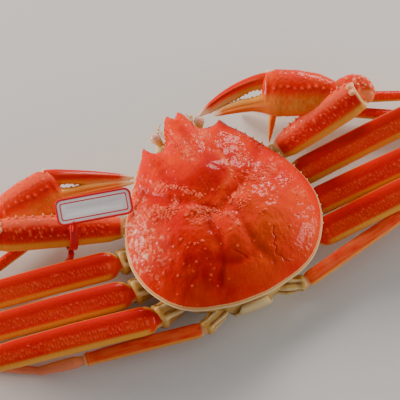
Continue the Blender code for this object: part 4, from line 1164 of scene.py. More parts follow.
class ClawPlane:
    """The flat face of a claw: along the hand, across it, and out of it towards the viewer."""

    def __init__(self, palm, knuckle):
        self.origin = np.asarray(palm, float)
        self.along = unit(np.asarray(knuckle, float) - self.origin)
        self.across = unit(CLAW_RISE - self.along * (CLAW_RISE @ self.along))
        self.out = unit(np.cross(self.across, self.along))
        if self.out[2] < 0:
            self.out = -self.out

    def point(self, place):
        """The point of the plane at a place along and across the hand."""
        return self.origin + self.along * place[0] + self.across * place[1]

    def edge(self, directions, side=1):
        """Directions in the plane, square to a curve's own; side is +1 for up and -1 for down."""
        edge = unit(np.cross(self.out, directions))
        return edge * np.where((edge @ self.across) * side < 0, -1.0, 1.0)[..., None]

    def rings(self, points, directions, heights, depths, sides, power=2.3):
        """Grid of rings: column 0 is the upper edge, and a quarter on is the outer face."""
        upward, outward = ring_shape(sides, power)
        grid = (points[:, None] + self.edge(directions)[:, None]
                * (upward * heights[:, None])[..., None]
                + self.out * (outward * depths[:, None])[..., None])
        return grid, upward, outward


print("claw planes can be laid")

# %% Hands
PALM_LENGTH = 51.0
# Rows of tubercles: place across, first and last mm, spacing, radius and height.
PALM_ROWS = ((0.93, 8, 48, 4.2, 1.2, 0.8), (0.22, 5, 49, 4.9, 1.4, 1.0),
             (0.62, 6, 48, 3.2, 0.95, 0.6), (0.45, 12, 44, 3.4, 0.8, 0.35))
PALM_LOOSENESS = (0.5, 0.8, 1.15, 0.15)
PALM_GRAINS, GRAIN_RADIUS, GRAIN_HEIGHT = 460, 0.9, 0.26


def palm_skin(plane, sides):
    """The hand, rounded at both ends."""
    places = np.concatenate([[-3.0, -2.4, -1.4], np.linspace(0.0, PALM_LENGTH, 84),
                             [52.2, 53.0, 53.6]])
    heights, depths = (table(PALM_SHAPE, np.clip(places, 0, PALM_LENGTH), column)
                       for column in (1, 2))
    before, beyond = np.clip(-places, 0, 3.2) / 3.3, np.clip(places - PALM_LENGTH, 0, 3) / 3.0
    ends = (np.sqrt(np.clip(1 - before ** 2, 0.05, 1))
            * np.sqrt(np.clip(1 - beyond ** 2, 0.05, 1)))
    points = plane.origin + plane.along * places[:, None]
    directions = np.broadcast_to(plane.along, points.shape)
    grid, upward, outward = plane.rings(points, directions, heights * ends, depths * ends, sides)
    return Skin(grid, places, upward, outward)


def make_palm(name, plane, joints):
    """The hand: red with rows of tubercles above, orange below, and the fixed lower finger."""
    skin = palm_skin(plane, 96)
    places, upward, outward = skin.run[:, None], skin.across[None], skin.rise[None]
    marks = skin.marks
    mottle = value_noise(places + 0 * upward, 14 * upward, 3.0, 31)
    below = (0.5 + 0.2 * mottle) * smooth(0.1, -0.45, upward)
    inside = 0.5 * smooth(0.2, -0.5, outward) * smooth(0.9, 0.4, upward)
    # Pink on the upper part of the outer face is painted glare, stronger on the left claw; the deep
    # red band a little above the middle is a painted shadow line.
    pink = 0.5 if "left" in name else 0.15
    marks[..., OCHRE] = np.clip(below + inside, 0, 1)
    marks[..., PINK] = pink * smooth(0.35, 0.8, upward) * smooth(-0.1, 0.4, outward)
    marks[..., DEEP] = 0.35 * bell(upward - 0.25, 0.25)
    marks[..., CREAM] = 0.5 * smooth(-1.0, -3.0, places)
    for row in PALM_ROWS:
        skin.row(*row, PALM_LOOSENESS, lowest=-0.2)
    face = np.where(skin.rise > -0.4)[0]
    centres = [skin.grid[dice.integers(4, len(places) - 4), dice.choice(face)]
               for _ in range(PALM_GRAINS)]
    sizes = dice.uniform(0.6, 1.1, PALM_GRAINS)
    skin.beads += zip(centres, GRAIN_RADIUS * sizes, GRAIN_HEIGHT * sizes)
    skin.raise_beads(pink=0.55)
    # A raised brim runs across the hand's end, round the socket of the hinged finger.
    brim = bell(places - 50.0, 1.0) * smooth(-0.5, 0.1, upward)
    skin.push(0.7 * brim)
    # The brim's pink is a painted highlight.
    marks[..., PINK] = np.clip(marks[..., PINK] + 0.15 * brim, 0, 1)
    piece = Shell(skin.grid, marks)
    add_finger(piece, plane, joints["thumb"], THUMB_SHAPE, 1, thumb=True)
    piece.finish(f"{name}_palm_skin", boiled_shell, "red_shell", f"{name}_palm")


print("rows of tubercles on a hand:", len(PALM_ROWS))

# %% Fingers
FINGER_TEETH = 14
TOOTH_MARK, TOOTH_TIP_MARK = ALL_OCHRE, (0.9, 0.2, 0, 0)
KNUCKLE_LENGTH, KNUCKLE_RADIUS = 3.6, 3.2


def blade_height(place, thumb):
    """How far the toothed inner edge of a finger stands out, in mm."""
    full = 1.6 if thumb else 2.4
    return full * smooth(0.22, 0.52, place) * smooth(1.0, 0.8, place)


def add_finger(piece, plane, line, shape, inward, thumb):
    """One finger with its toothed edge; inward is the side of the teeth, +1 or -1."""
    ends = [plane.point(place) for place in line]
    places = np.linspace(-0.04, 1.0, 110)
    points, directions = curve(*ends, places)
    heights, depths = (table(shape, np.clip(places, 0, 1), column) for column in (1, 2))
    grid, upward, outward = plane.rings(points, directions, heights, depths, 56)
    skin = Skin(grid, places, upward * inward, outward)
    along, toothward, outward, marks = places[:, None], skin.across[None], outward[None], skin.marks
    biting = smooth(0.25, 0.8, toothward)
    blade = blade_height(along, thumb) * smooth(0.2, 0.9, toothward)
    skin.grid = grid + plane.edge(directions, inward)[:, None] * blade[..., None]
    marks[..., OCHRE] = np.clip(0.55 + 0.45 * biting if thumb
                                else 0.95 * biting + 0.5 * smooth(0.1, -0.5, outward), 0, 1)
    marks[..., DEEP] = 0.45 * (1 - biting) * smooth(0.0, 0.5, outward) * (0.2 if thumb else 1.0)
    marks[..., CREAM] = np.clip(0.9 * smooth(0.8, 0.97, along)
                                + 0.25 * biting * smooth(0.3, 0.8, along), 0, 1)
    swing = smooth(0.05, 0.2, along) * smooth(0.95, 0.75, along) * (outward > 0)
    groove, keel = bell(toothward - 0.1, 0.16) * swing, bell(toothward + 0.35, 0.14) * swing
    skin.push(0.35 * keel - 0.45 * groove)
    # Deep red in the groove is painted shade, and pink on the keel beside it is a painted
    # highlight.
    skin.lift(DEEP, 0.5 * groove)
    skin.lift(PINK, 0.45 * keel)
    piece.add(skin.grid, marks)
    for step, place in enumerate(np.linspace(0.14, 0.92, FINGER_TEETH)):
        point, direction = curve(*ends, [place])
        edge = plane.edge(direction[0], inward)
        reach = table(shape, [place], 1)[0] + blade_height(place, thumb)
        size = (1.1 if step % 3 else 1.6) * (1.15 - 0.55 * place)
        piece.cone(point[0] + edge * (reach - 0.5) + plane.out * 0.4, edge + 0.1 * direction[0],
                   size, size * 0.95, TOOTH_MARK, TOOTH_TIP_MARK)


def make_finger(name, plane, joints):
    """The hinged upper finger, with a cream boss for the hinge at its root."""
    piece = Shell()
    add_finger(piece, plane, joints["finger"], FINGER_SHAPE, -1, thumb=False)
    root = plane.point(joints["finger"][0])
    piece.cone(root + plane.across * 4.0, plane.across + 0.5 * plane.along, KNUCKLE_LENGTH,
               KNUCKLE_RADIUS, (0.3, 0.5, 0.2, 0), ALL_CREAM, sides=16)
    piece.finish(f"{name}_finger_skin", boiled_shell, "red_shell", f"{name}_finger")


for claw_name, claw in CLAW_JOINTS.items():
    claw_plane = ClawPlane(claw["palm"], claw["knuckle"])
    make_palm(claw_name, claw_plane, claw)
    make_finger(claw_name, claw_plane, claw)
print("hands and fingers:", TALLY["claw_left_palm_skin"], TALLY["claw_left_finger_skin"])

# %% [markdown]
# ## Arms of the claws
# The arm between body and hand has a three-sided merus: an upper face with painted pink glare, a
# red side with pale tubercles, and an ochre lower edge. Pale spines stand along its front edge. A
# short knobbly carpus joins it to the hand, and a pale hip joins it to the body.

# %% Merus, carpus and hip of a claw
CLAW_MERUS_SHAPE = ((0.0, 0.62), (0.1, 0.8), (0.4, 0.94), (0.75, 1.0), (0.94, 0.97), (1.0, 0.78))
BLOCK_SHAPE = ((0.0, 0.72), (0.12, 0.9), (0.4, 1.0), (0.7, 1.0), (0.9, 0.86), (1.0, 0.66))
CLAW_UP = (-0.143, -0.337, 0.93)
CLAW_BALL, CLAW_HIP_BALL = 6.2, 6.4
# The rounded ends of the carpus: mm beyond its line, and share of its last size.
CARPUS_ENDS = np.array(((3.2, 2.4, 1.2), (0.35, 0.7, 0.92)))
CARPUS_KNOB_PLACES = (-0.6, -0.2, 0.2, 0.6)


def arm_line(joints):
    """Start, via and end of the arm's slightly bowed merus."""
    start, end = (np.array(joints[key], float) for key in ("start", "elbow"))
    return start, (start + end) / 2 + (0.0, 0.0, 3.0), end


def make_claw_merus(name, joints):
    """The arm: fine granules above, pale tubercles on its red side, spines along its edge."""
    start, via, end = arm_line(joints)
    skin, length = limb_skin((start, via, end, CLAW_MERUS, CLAW_UP, CLAW_BALL, CLAW_MERUS_SHAPE),
                             72, LEG_STEP, 1 if "left" in name else -1, power=2.6)
    paint_limb(skin, length, deep=0.0, ochre_from=-0.42)
    forward, above = skin.across[None], smooth(0.0, 0.3, skin.rise)[None]
    # Pink on the upper face is painted glare.
    skin.marks[..., PINK] = 0.6 * smooth(0.3, 0.55, forward) * above
    skin.marks[..., DEEP] = 0.9 * bell(forward + 0.08, 0.36) * above
    skin.row(-0.3, 10, length - 6, spacing=5.5, radius=0.8, height=0.5)
    skin.row(-0.48, 14, length - 8, spacing=7.0, radius=0.7, height=0.35)
    skin.row(0.3, 12, length - 6, spacing=3.2, radius=0.85, height=0.5)
    skin.strew((0.0, 0.95), (8, length - 5), count=190, radius=0.9, height=0.32)
    skin.strew((-0.6, 0.0), (8, length - 5), count=70, radius=0.8, height=0.25)
    skin.raise_beads(pink=0.6, cream=0.1)
    piece = Shell(skin.grid, skin.marks)
    outward = normals(skin.grid)
    edge, place = skin.column(0.93), 12.0
    while place < length - 4:
        ring = skin.ring(place)
        size = dice.uniform(0.8, 1.2)
        piece.cone(skin.grid[ring, edge], outward[ring, edge] + 0.3 * unit(end - start),
                   2.3 * size, 1.1 * size, (0, 0, 0.5, 0), (0, 0.6, 0.4, 0))
        place += dice.uniform(5.0, 8.0)
    ring = skin.ring(length - 2.5)
    for column in (skin.column(0.35), skin.column(0.75)):
        piece.cone(skin.grid[ring, column], outward[ring, column], 1.6, 2.2, (0.5, 0.3, 0.2, 0),
                   (0.3, 0.5, 0, 0), sides=12)
    piece.finish(f"{name}_merus_skin", boiled_shell, "red_shell", f"{name}_merus")


def make_claw_carpus(name, plane, joints):
    """The knobbly block between arm and hand."""
    line = joints["carpus"]
    places = np.linspace(0.0, 1.0, 54)
    points, directions = curve(*line, places)
    beyond, cap = CARPUS_ENDS
    points = np.concatenate([points[0] - directions[0] * beyond[:, None], points,
                             points[-1] + directions[-1] * beyond[::-1, None]])
    directions = np.pad(directions, ((3, 3), (0, 0)), mode="edge")
    share = table(BLOCK_SHAPE, places, soften=0.06)
    share = np.concatenate([share[0] * cap, share, share[-1] * cap[::-1]])
    grid, across, rise = tube(points, directions, plane.out, CLAW_CARPUS[0] * share,
                              CLAW_CARPUS[1] * share, 72, 3.0)
    rings = np.arange(len(points))
    skin = Skin(grid, 0.5 * rings, across, rise)
    from_end = np.minimum(rings, rings[::-1])[:, None]
    skin.marks[..., OCHRE] = 0.9 * smooth(0.1, -0.4, rise)[None]
    skin.marks[..., CREAM] = 0.15 * smooth(6, 3, from_end)
    skin.marks[..., PINK] = 0.25 * smooth(0.3, 0.9, rise)[None]
    skin.lift(OCHRE, 0.35 * smooth(8, 5, from_end))
    skin.strew((-0.95, 0.95), (3, 26), count=60, radius=1.5, height=0.75)
    skin.strew((-0.95, 0.95), (2, 27), count=90, radius=0.9, height=0.3)
    skin.raise_beads(pink=0.7, cream=0.3)
    piece = Shell(skin.grid, skin.marks)
    middle = curve(*line, [0.45])[0][0]
    elbow = np.array(joints["elbow"], float)
    outward = unit(middle - (elbow + plane.point((10.0, 0.0))) / 2)
    for lean in CARPUS_KNOB_PLACES:
        direction = unit(plane.out + outward * 0.7 + plane.along * lean)
        piece.cone(middle + direction * 9.6, direction, 2.4, 1.5, (0, 0, 0.4, 0),
                   (0.2, 0.5, 0.3, 0))
    piece.finish(f"{name}_carpus_skin", boiled_shell, "red_shell", f"{name}_carpus")


for claw_name, claw in CLAW_JOINTS.items():
    make_claw_merus(claw_name, claw)
    make_claw_carpus(claw_name, ClawPlane(claw["palm"], claw["knuckle"]), claw)
    hip_point, start_point = (np.array(claw[key], float) for key in ("hip", "start"))
    make_hip(f"{claw_name}_hip", (hip_point, (hip_point + start_point) / 2, start_point, CLAW_HIP,
                                  (0, 0, 1), CLAW_HIP_BALL, HIP_SHAPE))
print("triangles so far:", sum(TALLY.values()))

# %% [markdown]
# ## Underside
# Below the back lies the thorax, a pale keg with a flat floor, cut by sutures between the roots
# of the legs. The narrow tail flap of a male is folded forward under it, in plates. All this is
# thin cream and ochre cuticle, and bristles fringe the gap at the rear.

# %% Thorax
# Slices: y, half-width at the top and at the floor, and height of the floor.
THORAX_SLICES = (
    (-63.5, 17.0, 10.0, 10.0), (-60.0, 30.0, 16.0, 5.0), (-54.0, 43.0, 22.0, 1.5),
    (-46.0, 53.0, 27.0, 0.0), (-28.0, 62.5, 33.0, 0.0), (-8.0, 65.5, 35.0, 0.0),
    (12.0, 60.5, 32.0, 0.0), (30.0, 50.5, 25.0, 0.0), (44.0, 38.0, 17.0, 3.0),
    (55.0, 25.0, 12.0, 9.0),
)
RIM_THICKNESS = 3.0
SUTURES = (-46.0, -30.0, -13.0, 5.0, 22.0, 38.0)
BRISTLES, BRISTLE_RADIUS = 420, 0.16


def make_thorax():
    """The pale keg below the back, with its sutures and pleats, and the bristles at its rear."""
    ys = np.linspace(-63.5, 55.0, 150)
    top_half, floor_half, floor_z = (table(THORAX_SLICES, ys, column) for column in (1, 2, 3))
    top = rim_z(ys) - RIM_THICKNESS - 0.3
    wall_share = np.linspace(0.0, 1.0, 30)
    bulge = np.sin(np.pi * wall_share) ** 0.8
    rows = []
    for y, half, floor, base, high in zip(ys, top_half, floor_half, floor_z, top):
        xs = half - (half - floor) * wall_share ** 1.9 + 0.02 * half * bulge
        zs = high - (high - base) * wall_share ** 0.92
        bed = np.linspace(floor, -floor, 22)[1:-1]
        lid = np.linspace(-half, half, 14)[1:-1]
        rows.append(np.column_stack([
            np.concatenate([xs, bed, -xs[::-1], lid]),
            np.full(2 * len(xs) + len(bed) + len(lid), y),
            np.concatenate([zs, np.full(len(bed), base), zs[::-1], np.full(len(lid), high)])]))
    grid = np.array(rows)
    x, y, z = grid[..., 0], grid[..., 1], grid[..., 2]
    suture = sum(bell(y - at - 0.12 * np.abs(x), 0.9) for at in SUTURES)
    suture = suture * smooth(8.0, 14.0, np.abs(x)) * smooth(24.0, 12.0, z)
    pleats = np.sin(y * 1.15 + 0.05 * z) * smooth(6.0, 16.0, z) * smooth(34.0, 28.0, z)
    grid = grid + normals(grid) * (0.35 * pleats - 0.9 * suture)[..., None]
    marks = np.zeros((*grid.shape[:2], 4))
    # Deep brown in the sutures and in the hollows of the pleats is painted shade.
    marks[..., DEEP] = np.clip(0.7 * suture + 0.35 * (pleats < -0.6), 0, 0.8)
    marks[..., CREAM] = 0.55 * smooth(12.0, 2.0, z) * (1 - np.clip(suture, 0, 1))
    piece = Shell(grid, marks)
    slice_ys, slice_halves = np.array(THORAX_SLICES).T[:2]
    for _ in range(BRISTLES):
        at = dice.uniform(-0.9, 0.9)
        side = math.copysign(1.0, at)
        y = -62.0 + 26.0 * abs(at) ** 1.6 + dice.normal(0, 1.0)
        half = np.interp(y, slice_ys, slice_halves)
        root = np.array((side * half * min(1.0, abs(at) * 1.2) * 0.96, y, dice.uniform(9, 26)))
        lean = unit((0.5 * at, -1.0, dice.uniform(-0.5, 0.1)))
        piece.cone(root, lean, dice.uniform(1.6, 3.2), BRISTLE_RADIUS, ALL_DEEP, ALL_OCHRE,
                   sides=4, lean=dice.uniform(-0.3, 0.3))
    piece.finish("thorax_skin", pale_cuticle, "pale_shell", "thorax")


make_thorax()
print("thorax triangles:", TALLY["thorax_skin"])

# %% [markdown]
# ## Tail flap and mouth
# The flap has seven plates with a groove between each pair. The mouth is closed by two flat
# jaw-feet that meet in the middle, each with a jointed palp in front.

# %% Abdomen and mouthparts
# Path of the flap: y, z and half-width.
ABDOMEN_PATH = (
    (-65.8, 26.0, 10.0), (-66.3, 18.0, 12.0), (-64.0, 9.5, 14.5), (-58.0, 3.6, 16.5),
    (-49.0, 1.9, 17.0), (-34.0, 1.9, 13.0), (-18.0, 1.9, 9.0), (-4.0, 1.9, 6.0),
)
FLAP_GROOVES, FLAP_DEPTH = 6, 1.9
PALP_SHAPE = ((0, 1.7), (0.35, 1.3), (0.4, 1.6), (0.7, 1.1), (0.75, 1.3), (1, 0.5))
MOUTH_BRISTLES, MOUTH_BRISTLE_RADIUS = 26, 0.14


def make_abdomen():
    """The tail flap, folded forward under the thorax."""
    fine = spline(np.array(ABDOMEN_PATH), 14)
    points = np.column_stack([np.zeros(len(fine)), fine[:, 0], fine[:, 1]])
    run = np.concatenate([[0], np.cumsum(np.linalg.norm(np.diff(points, axis=0), axis=1))])
    directions = unit(np.gradient(points, axis=0))
    across, rise = ring_shape(60, 2.8)
    lift = unit(np.cross(directions, (1.0, 0.0, 0.0)))
    groove = sum(bell(run - at, 0.7) for at in np.linspace(9, run[-1] - 8, FLAP_GROOVES))
    depth = FLAP_DEPTH * (1 - 0.35 * groove)
    half = fine[:, 2] * (1 - 0.03 * groove)
    grid = (points[:, None] + np.array((1.0, 0, 0)) * (half[:, None] * across)[..., None]
            + lift[:, None] * (depth[:, None] * rise)[..., None])
    grid[..., 2] = np.maximum(grid[..., 2], 0.05)
    marks = np.zeros((*grid.shape[:2], 4))
    # Deep brown in the grooves between the plates is painted shade.
    marks[..., DEEP] = 0.7 * groove[:, None]
    marks[..., CREAM] = 0.5 * (1 - np.clip(groove, 0, 1))[:, None]
    Shell(grid, marks).finish("abdomen_skin", pale_cuticle, "pale_shell", "abdomen")


def make_mouthparts():
    """Two flat jaw-feet side by side, each with a jointed palp and bristles in front."""
    piece = Shell()
    for side in (1, -1):
        heights = np.linspace(11.5, 26.0, 34)
        half = np.interp(heights, (11.5, 16, 22, 26), (3.2, 4.6, 4.9, 3.6))
        points = np.column_stack([side * (0.35 + half),
                                  np.interp(heights, (11.5, 26), (58.5, 58.0)), heights])
        joint = bell(heights - 19.5, 0.6)
        share = 1 - 0.3 * joint
        grid = tube(points, (0.0, 0.0, 1.0), (0, 1, 0), half * share, 2.9 * share, 40, 2.8)[0]
        marks = np.zeros((*grid.shape[:2], 4))
        marks[..., CREAM] = 0.6
        marks[..., DEEP] = 0.6 * joint[:, None]
        piece.add(grid, marks)
        palp = ((side * 7.6, 59.5, 24.5), (side * 9.5, 61.8, 18.0), (side * 3.4, 61.5, 13.0))
        places = np.linspace(0, 1, 30)
        points, directions = curve(*palp, places)
        size = table(PALP_SHAPE, places, soften=0.02)
        grid = tube(points, directions, (0, 1, 0), size, size, 16, 2.0)[0]
        piece.add(grid, (0.2, 0.3, 0.2, 0.0))
        for _ in range(MOUTH_BRISTLES):
            root = (side * dice.uniform(0.6, 1.6), 61.2, dice.uniform(12, 25))
            piece.cone(root, (-side * 0.4, 1.0, -0.3), dice.uniform(1.0, 1.8),
                       MOUTH_BRISTLE_RADIUS, ALL_DEEP, ALL_OCHRE, sides=4)
    piece.finish("mouthparts_skin", pale_cuticle, "cream_shell", "mouthparts")


make_abdomen()
make_mouthparts()
print("abdomen and mouth:", TALLY["abdomen_skin"], TALLY["mouthparts_skin"])

# %% [markdown]
# ## Eyes and feelers
# Each eye is a milky ball on a short ochre stalk, in the notch beside the rostral plate. Below
# it, the feeler starts from a knobbly cream block and ends in a thin whip.

# %% Eyes
EYE_PLACE, STALK_ROOT = (16.8, 73.2, 30.0), (10.5, 56.0, 27.0)
EYE_BALL = 4.0
EYE_SPECKS, SPECK_RADIUS = 60, 0.75
STALK_SHAPE = ((0.05, 2.2), (0.4, 2.3), (0.6, 2.0), (0.75, 2.5), (0.88, 3.4))
FEELER_LINE = ((16.5, 54.0, 22.5), (20.0, 72.0, 16.0), (9.5, 81.0, 33.0))
FEELER_SHAPE = ((0.04, 1.8), (0.1, 2.3), (0.3, 2.3), (0.4, 1.4), (0.7, 0.9), (1.0, 0.35))
# Knobs of the feeler's block: direction and length; its teeth: place beside the block.
BLOCK_KNOBS = ((0, 1, 0.3, 4.2), (0.7, 0.7, 0.2, 3.2), (-0.6, 0.8, 0.4, 3.4),
               (0.9, 0.1, 0.4, 2.6), (-0.9, 0.2, 0.2, 2.6), (0.1, 0.3, 0.9, 1.6))
BLOCK_TEETH = ((-7.2, 9.5, 1.0), (-6.4, 12.5, 1.6), (-5.4, 15.5, 2.2))
UPWARD = (0, 0, 1)


def make_eye(side, word):
    """A speckled ball on its stalk."""
    root, eye = (np.array(place) * (side, 1, 1) for place in (STALK_ROOT, EYE_PLACE))
    direction = unit(eye - root)
    angles = np.linspace(0.12, 2.35, 34)
    sizes = EYE_BALL * np.sin(angles)
    points = eye + direction * (EYE_BALL * np.cos(angles))[:, None]
    ball = tube(points, direction, UPWARD, sizes, sizes, 48, 2.0)[0]
    specks = [(ball[dice.integers(2, 26), dice.integers(0, 48)], SPECK_RADIUS, 1.0)
              for _ in range(EYE_SPECKS)]
    marks = np.zeros((*ball.shape[:2], 4))
    marks[..., DEEP] = 0.75 * bead_field(ball, specks)
    marks[..., CREAM] = 0.35
    Shell(ball, marks).finish(f"eye_ball_{word}", milky_eye, "eye", f"eye_{word}")
    places = np.linspace(0.05, 0.88, 40)
    sizes = table(STALK_SHAPE, places)
    stalk = tube(root + (eye - root) * places[:, None], direction, UPWARD, sizes, sizes, 32, 2.0)[0]
    marks = np.zeros((*stalk.shape[:2], 4))
    marks[..., OCHRE] = 0.7
    marks[..., CREAM] = 0.3 * smooth(0.7, 0.88, places)[:, None]
    Shell(stalk, marks).finish(f"eye_stalk_{word}", pale_cuticle, "pale_shell", f"eye_{word}")


def make_feeler(side, word):
    """A ringed whip on a knobbly block."""
    places = np.linspace(0.04, 1.0, 90)
    points, directions = curve(*(np.array(FEELER_LINE) * (side, 1, 1)), places)
    sizes = table(FEELER_SHAPE, places, soften=0.02) * (1 + 0.08 * np.sin(places * 120))
    piece = Shell(tube(points, directions, UPWARD, sizes, sizes, 16, 2.0)[0], (0.15, 0.65, 0, 0))
    base = np.array((side * 18.2, 62.0, 31.0))
    for dx, dy, dz, length in BLOCK_KNOBS:
        piece.cone(base, (side * dx, dy, dz), length, 1.9, (0.3, 0.6, 0, 0), ALL_CREAM, sides=10)
    for dx, dy, dz in BLOCK_TEETH:
        piece.cone(base + (side * dx, dy, dz), (side * 0.8, 0.8, 0.1), 2.6, 1.0,
                   (0.2, 0.6, 0, 0), ALL_CREAM)
    piece.finish(f"feeler_{word}", pale_cuticle, "cream_shell", f"antenna_{word}")


for eye_side, eye_word in ((-1, "left"), (1, "right")):
    make_eye(eye_side, eye_word)
    make_feeler(eye_side, eye_word)
print("eyes and feelers:", TALLY["eye_ball_left"], TALLY["feeler_left"])

# %% [markdown]
# ## Tag and strap
# Fishers tie a plastic tag to a claw. Here it is a plain white plate with round corners, a
# raised red rim and one plain red line inside it. A red strap goes round the arm and holds it.

# %% Tag and strap
TAG_CENTRE = (-78.5, 35.0, 48.8)
TAG_LENGTH, TAG_HEIGHT, TAG_THICKNESS = 54.0, 19.0, 1.2
TAG_TURN = math.radians(10.5)
STRAP_PLACE, STRAP_WIDTH, STRAP_THICKNESS = 0.41, 5.8, 1.1
# The band's closed profile: shares of its width and of its thickness.
BAND_PROFILE = ((-0.5, 0.0), (-0.5, 0.8), (-0.4, 1.0), (-0.1, 1.0), (0.0, 0.88), (0.1, 1.0),
                (0.4, 1.0), (0.5, 0.8), (0.5, 0.0), (0.0, 0.0), (-0.5, 0.0))


def tag_axes():
    """Directions along, across and out of the tag, and out of the claw's plane."""
    plane = ClawPlane(CLAW_JOINTS["claw_left"]["palm"], CLAW_JOINTS["claw_left"]["knuckle"])
    right = unit(np.cross(CLAW_RISE, plane.out))
    right = right if right[0] > 0 else -right
    rise = unit(np.cross(plane.out, right))
    rise = rise if rise[1] > 0 else -rise
    along = right * math.cos(TAG_TURN) + rise * math.sin(TAG_TURN)
    across = rise * math.cos(TAG_TURN) - right * math.sin(TAG_TURN)
    return along, across, unit(np.cross(along, across)), plane.out


def round_box(half_length, half_height, corner, steps=10):
    """Outline of a rectangle with round corners, as places along and across."""
    outline = []
    for quarter, (sx, sy) in enumerate(((1, 1), (-1, 1), (-1, -1), (1, -1))):
        for angle in np.pi / 2 * (quarter + np.arange(steps + 1) / steps):
            outline.append((sx * (half_length - corner) + corner * np.cos(angle),
                            sy * (half_height - corner) + corner * np.sin(angle)))
    return np.array(outline)


def tag_ring(inset, level):
    """The tag's outline, drawn in by an inset and raised to a level; the tag sags at its ends."""
    along, across, out, _ = tag_axes()
    outline = round_box(TAG_LENGTH / 2 - inset, TAG_HEIGHT / 2 - inset, max(5.0 - inset, 1.2))
    sag = 0.0016 * outline[:, :1] ** 2 - 0.35
    return (np.array(TAG_CENTRE) + along * outline[:, :1] + across * outline[:, 1:]
            + out * (level - sag))


def make_tag():
    """White plate, raised rim and inner line: each is a profile of insets and levels."""
    half = TAG_THICKNESS / 2
    plate = ((7.6, -half), (4.0, -half), (1.0, -half), (0.35, -half + 0.15), (0.2, 0.0),
             (0.35, half - 0.15), (1.0, half), (4.0, half), (7.6, half))
    rim = ((0.2, half - 0.2), (0.0, half + 0.1), (0.25, half + 0.4), (0.9, half + 0.45),
           (1.45, half + 0.3), (1.6, half - 0.1), (1.2, half - 0.3), (0.2, half - 0.2))
    line = ((3.3, half - 0.2), (3.3, half + 0.08), (3.7, half + 0.12), (4.1, half + 0.08),
            (4.1, half - 0.2), (3.3, half - 0.2))
    for name, paint, slot, profile in (("tag_plate_white", tag_white, "tag_plastic", plate),
                                       ("tag_rim", tag_red, "strap_plastic", rim),
                                       ("tag_inner_line", tag_red, "strap_plastic", line)):
        rings = np.array([tag_ring(inset, level) for inset, level in profile])
        Shell(rings, caps=profile is plate).finish(name, paint, slot, "tag_plate")


def make_strap():
    """The band round the arm, its tongue on the tag, its lock and its cut end."""
    along, across, _, out = tag_axes()
    middle, tangent = (value[0] for value in curve(*arm_line(CLAW_JOINTS["claw_left"]),
                                                   [STRAP_PLACE]))
    rings = []
    for edge, lift in BAND_PROFILE:
        sizes = np.array(CLAW_MERUS) + 0.9 + STRAP_THICKNESS * lift
        ring = tube(middle[None], tangent, CLAW_UP, sizes[0], sizes[1], 120, 2.6)[0][0]
        rings.append(ring + tangent * edge * STRAP_WIDTH)
    piece = Shell(np.array(rings), caps=False)
    top = middle + out * (CLAW_MERUS[1] + 1.2)
    foot = np.array(TAG_CENTRE) - along * 16.0 - across * 7.0
    points, directions = curve(top, (top + foot) / 2 + along * 1.5, foot, np.linspace(0, 1, 24))
    piece.add(tube(points, directions, tangent, 1.9, 0.8, 24, 3.0)[0], PLAIN)
    # The strap's lock is a small block under the arm, and its cut end hangs beyond it.
    under = middle - CLAW_RISE * (CLAW_MERUS[0] + 2.2)
    points, directions = curve(under - (0, 0, 3), under - (0.6, 0.6, 5.5), under - (1.5, 1.5, 8.5),
                               np.linspace(0, 1, 8))
    piece.add(tube(points, directions, tangent, 2.6, 1.9, 24, 5.0)[0], PLAIN)
    places = np.linspace(0, 1, 40)
    points, directions = curve(under - (1.5, 1.0, 8.5), under - (8.0, 5.0, 13.5),
                               under - (17.5, 1.0, 12.5), places)
    widths = np.interp(places, (0, 0.85, 1), (1.7, 1.5, 0.5))
    piece.add(tube(points, directions, (0.2, 0.3, 1.0), widths, 0.55, 20, 4.0)[0], PLAIN)
    piece.finish("tag_strap_red", tag_red, "strap_plastic", "tag_strap")


make_tag()
make_strap()
print("tag and strap:", TALLY["tag_plate_white"], TALLY["tag_strap_red"])

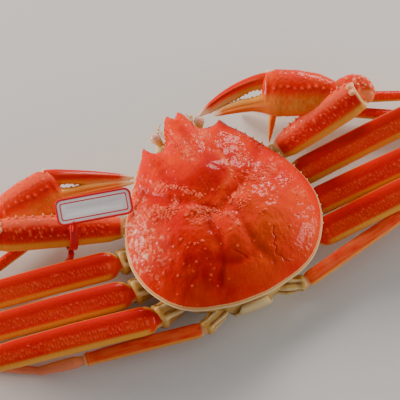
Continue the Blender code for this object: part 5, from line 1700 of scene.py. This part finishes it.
# %% [markdown]
# ## Floor and light
# A plain pale floor takes the shadow. One large soft light stands on the left, where the window
# of the photograph is: it gives the broad pink glare on the left flank. A second one ahead of
# the crab, to its right, puts the sparkle on the warts there. All stand low: a lamp overhead
# would be mirrored in the flat top of the back and wash its red out. A weak one at the right
# rear keeps that side from going dark.

# %% Floor and lights
floor_mesh = bpy.data.meshes.new("floor")
floor_mesh.from_pydata([(-3, -3, 0), (3, -3, 0), (3, 3, 0), (-3, 3, 0)], [], [(0, 1, 2, 3)])
floor = bpy.data.objects.new("floor", floor_mesh)
floor.location.z = -0.0004
bpy.context.scene.collection.objects.link(floor)
floor_paint, floor_shader = new_material("floor_paint")
fill(floor_paint, floor_shader, {"Base Color": linear("#D9D7D3"), "Roughness": 0.75})
floor_mesh.materials.append(floor_paint)


def softbox(name, place, size, power, colour):
    """A rectangular lamp, aimed at the middle of the crab."""
    lamp = bpy.data.lights.new(name, "AREA")
    lamp.shape = "RECTANGLE"
    lamp.size, lamp.size_y = size
    lamp.energy = power
    lamp.color = linear(colour)[:3]
    holder = bpy.data.objects.new(name, lamp)
    holder.location = place
    holder.rotation_mode = "QUATERNION"
    holder.rotation_quaternion = (Vector((0, 0, 0.03)) - Vector(place)).to_track_quat("-Z", "Y")
    bpy.context.scene.collection.objects.link(holder)


# Each lamp: name, place and size in metres, watts and colour.
LAMPS = (
    ("window", (-1.1, 0.7, 0.36), (0.7, 0.32), 21.0, "#FFF6EE"),
    ("skylight", (0.82, 0.94, 0.63), (0.5, 0.4), 16.0, "#FFFAF4"),
    ("side_light", (1.2, -0.4, 0.22), (0.7, 0.3), 8.0, "#FFFAF4"),
)
for lamp_settings in LAMPS:
    softbox(*lamp_settings)
room = bpy.data.worlds.new("room")
room.use_nodes = True
fill(room, room.node_tree.nodes["Background"], {"Color": linear("#E8E8EA"), "Strength": 0.45})
bpy.context.scene.world = room
print("lights:", [name for name, *_ in LAMPS])

# %% Sizes and finish
print("pieces:", len(TALLY), "triangles:", sum(TALLY.values()))
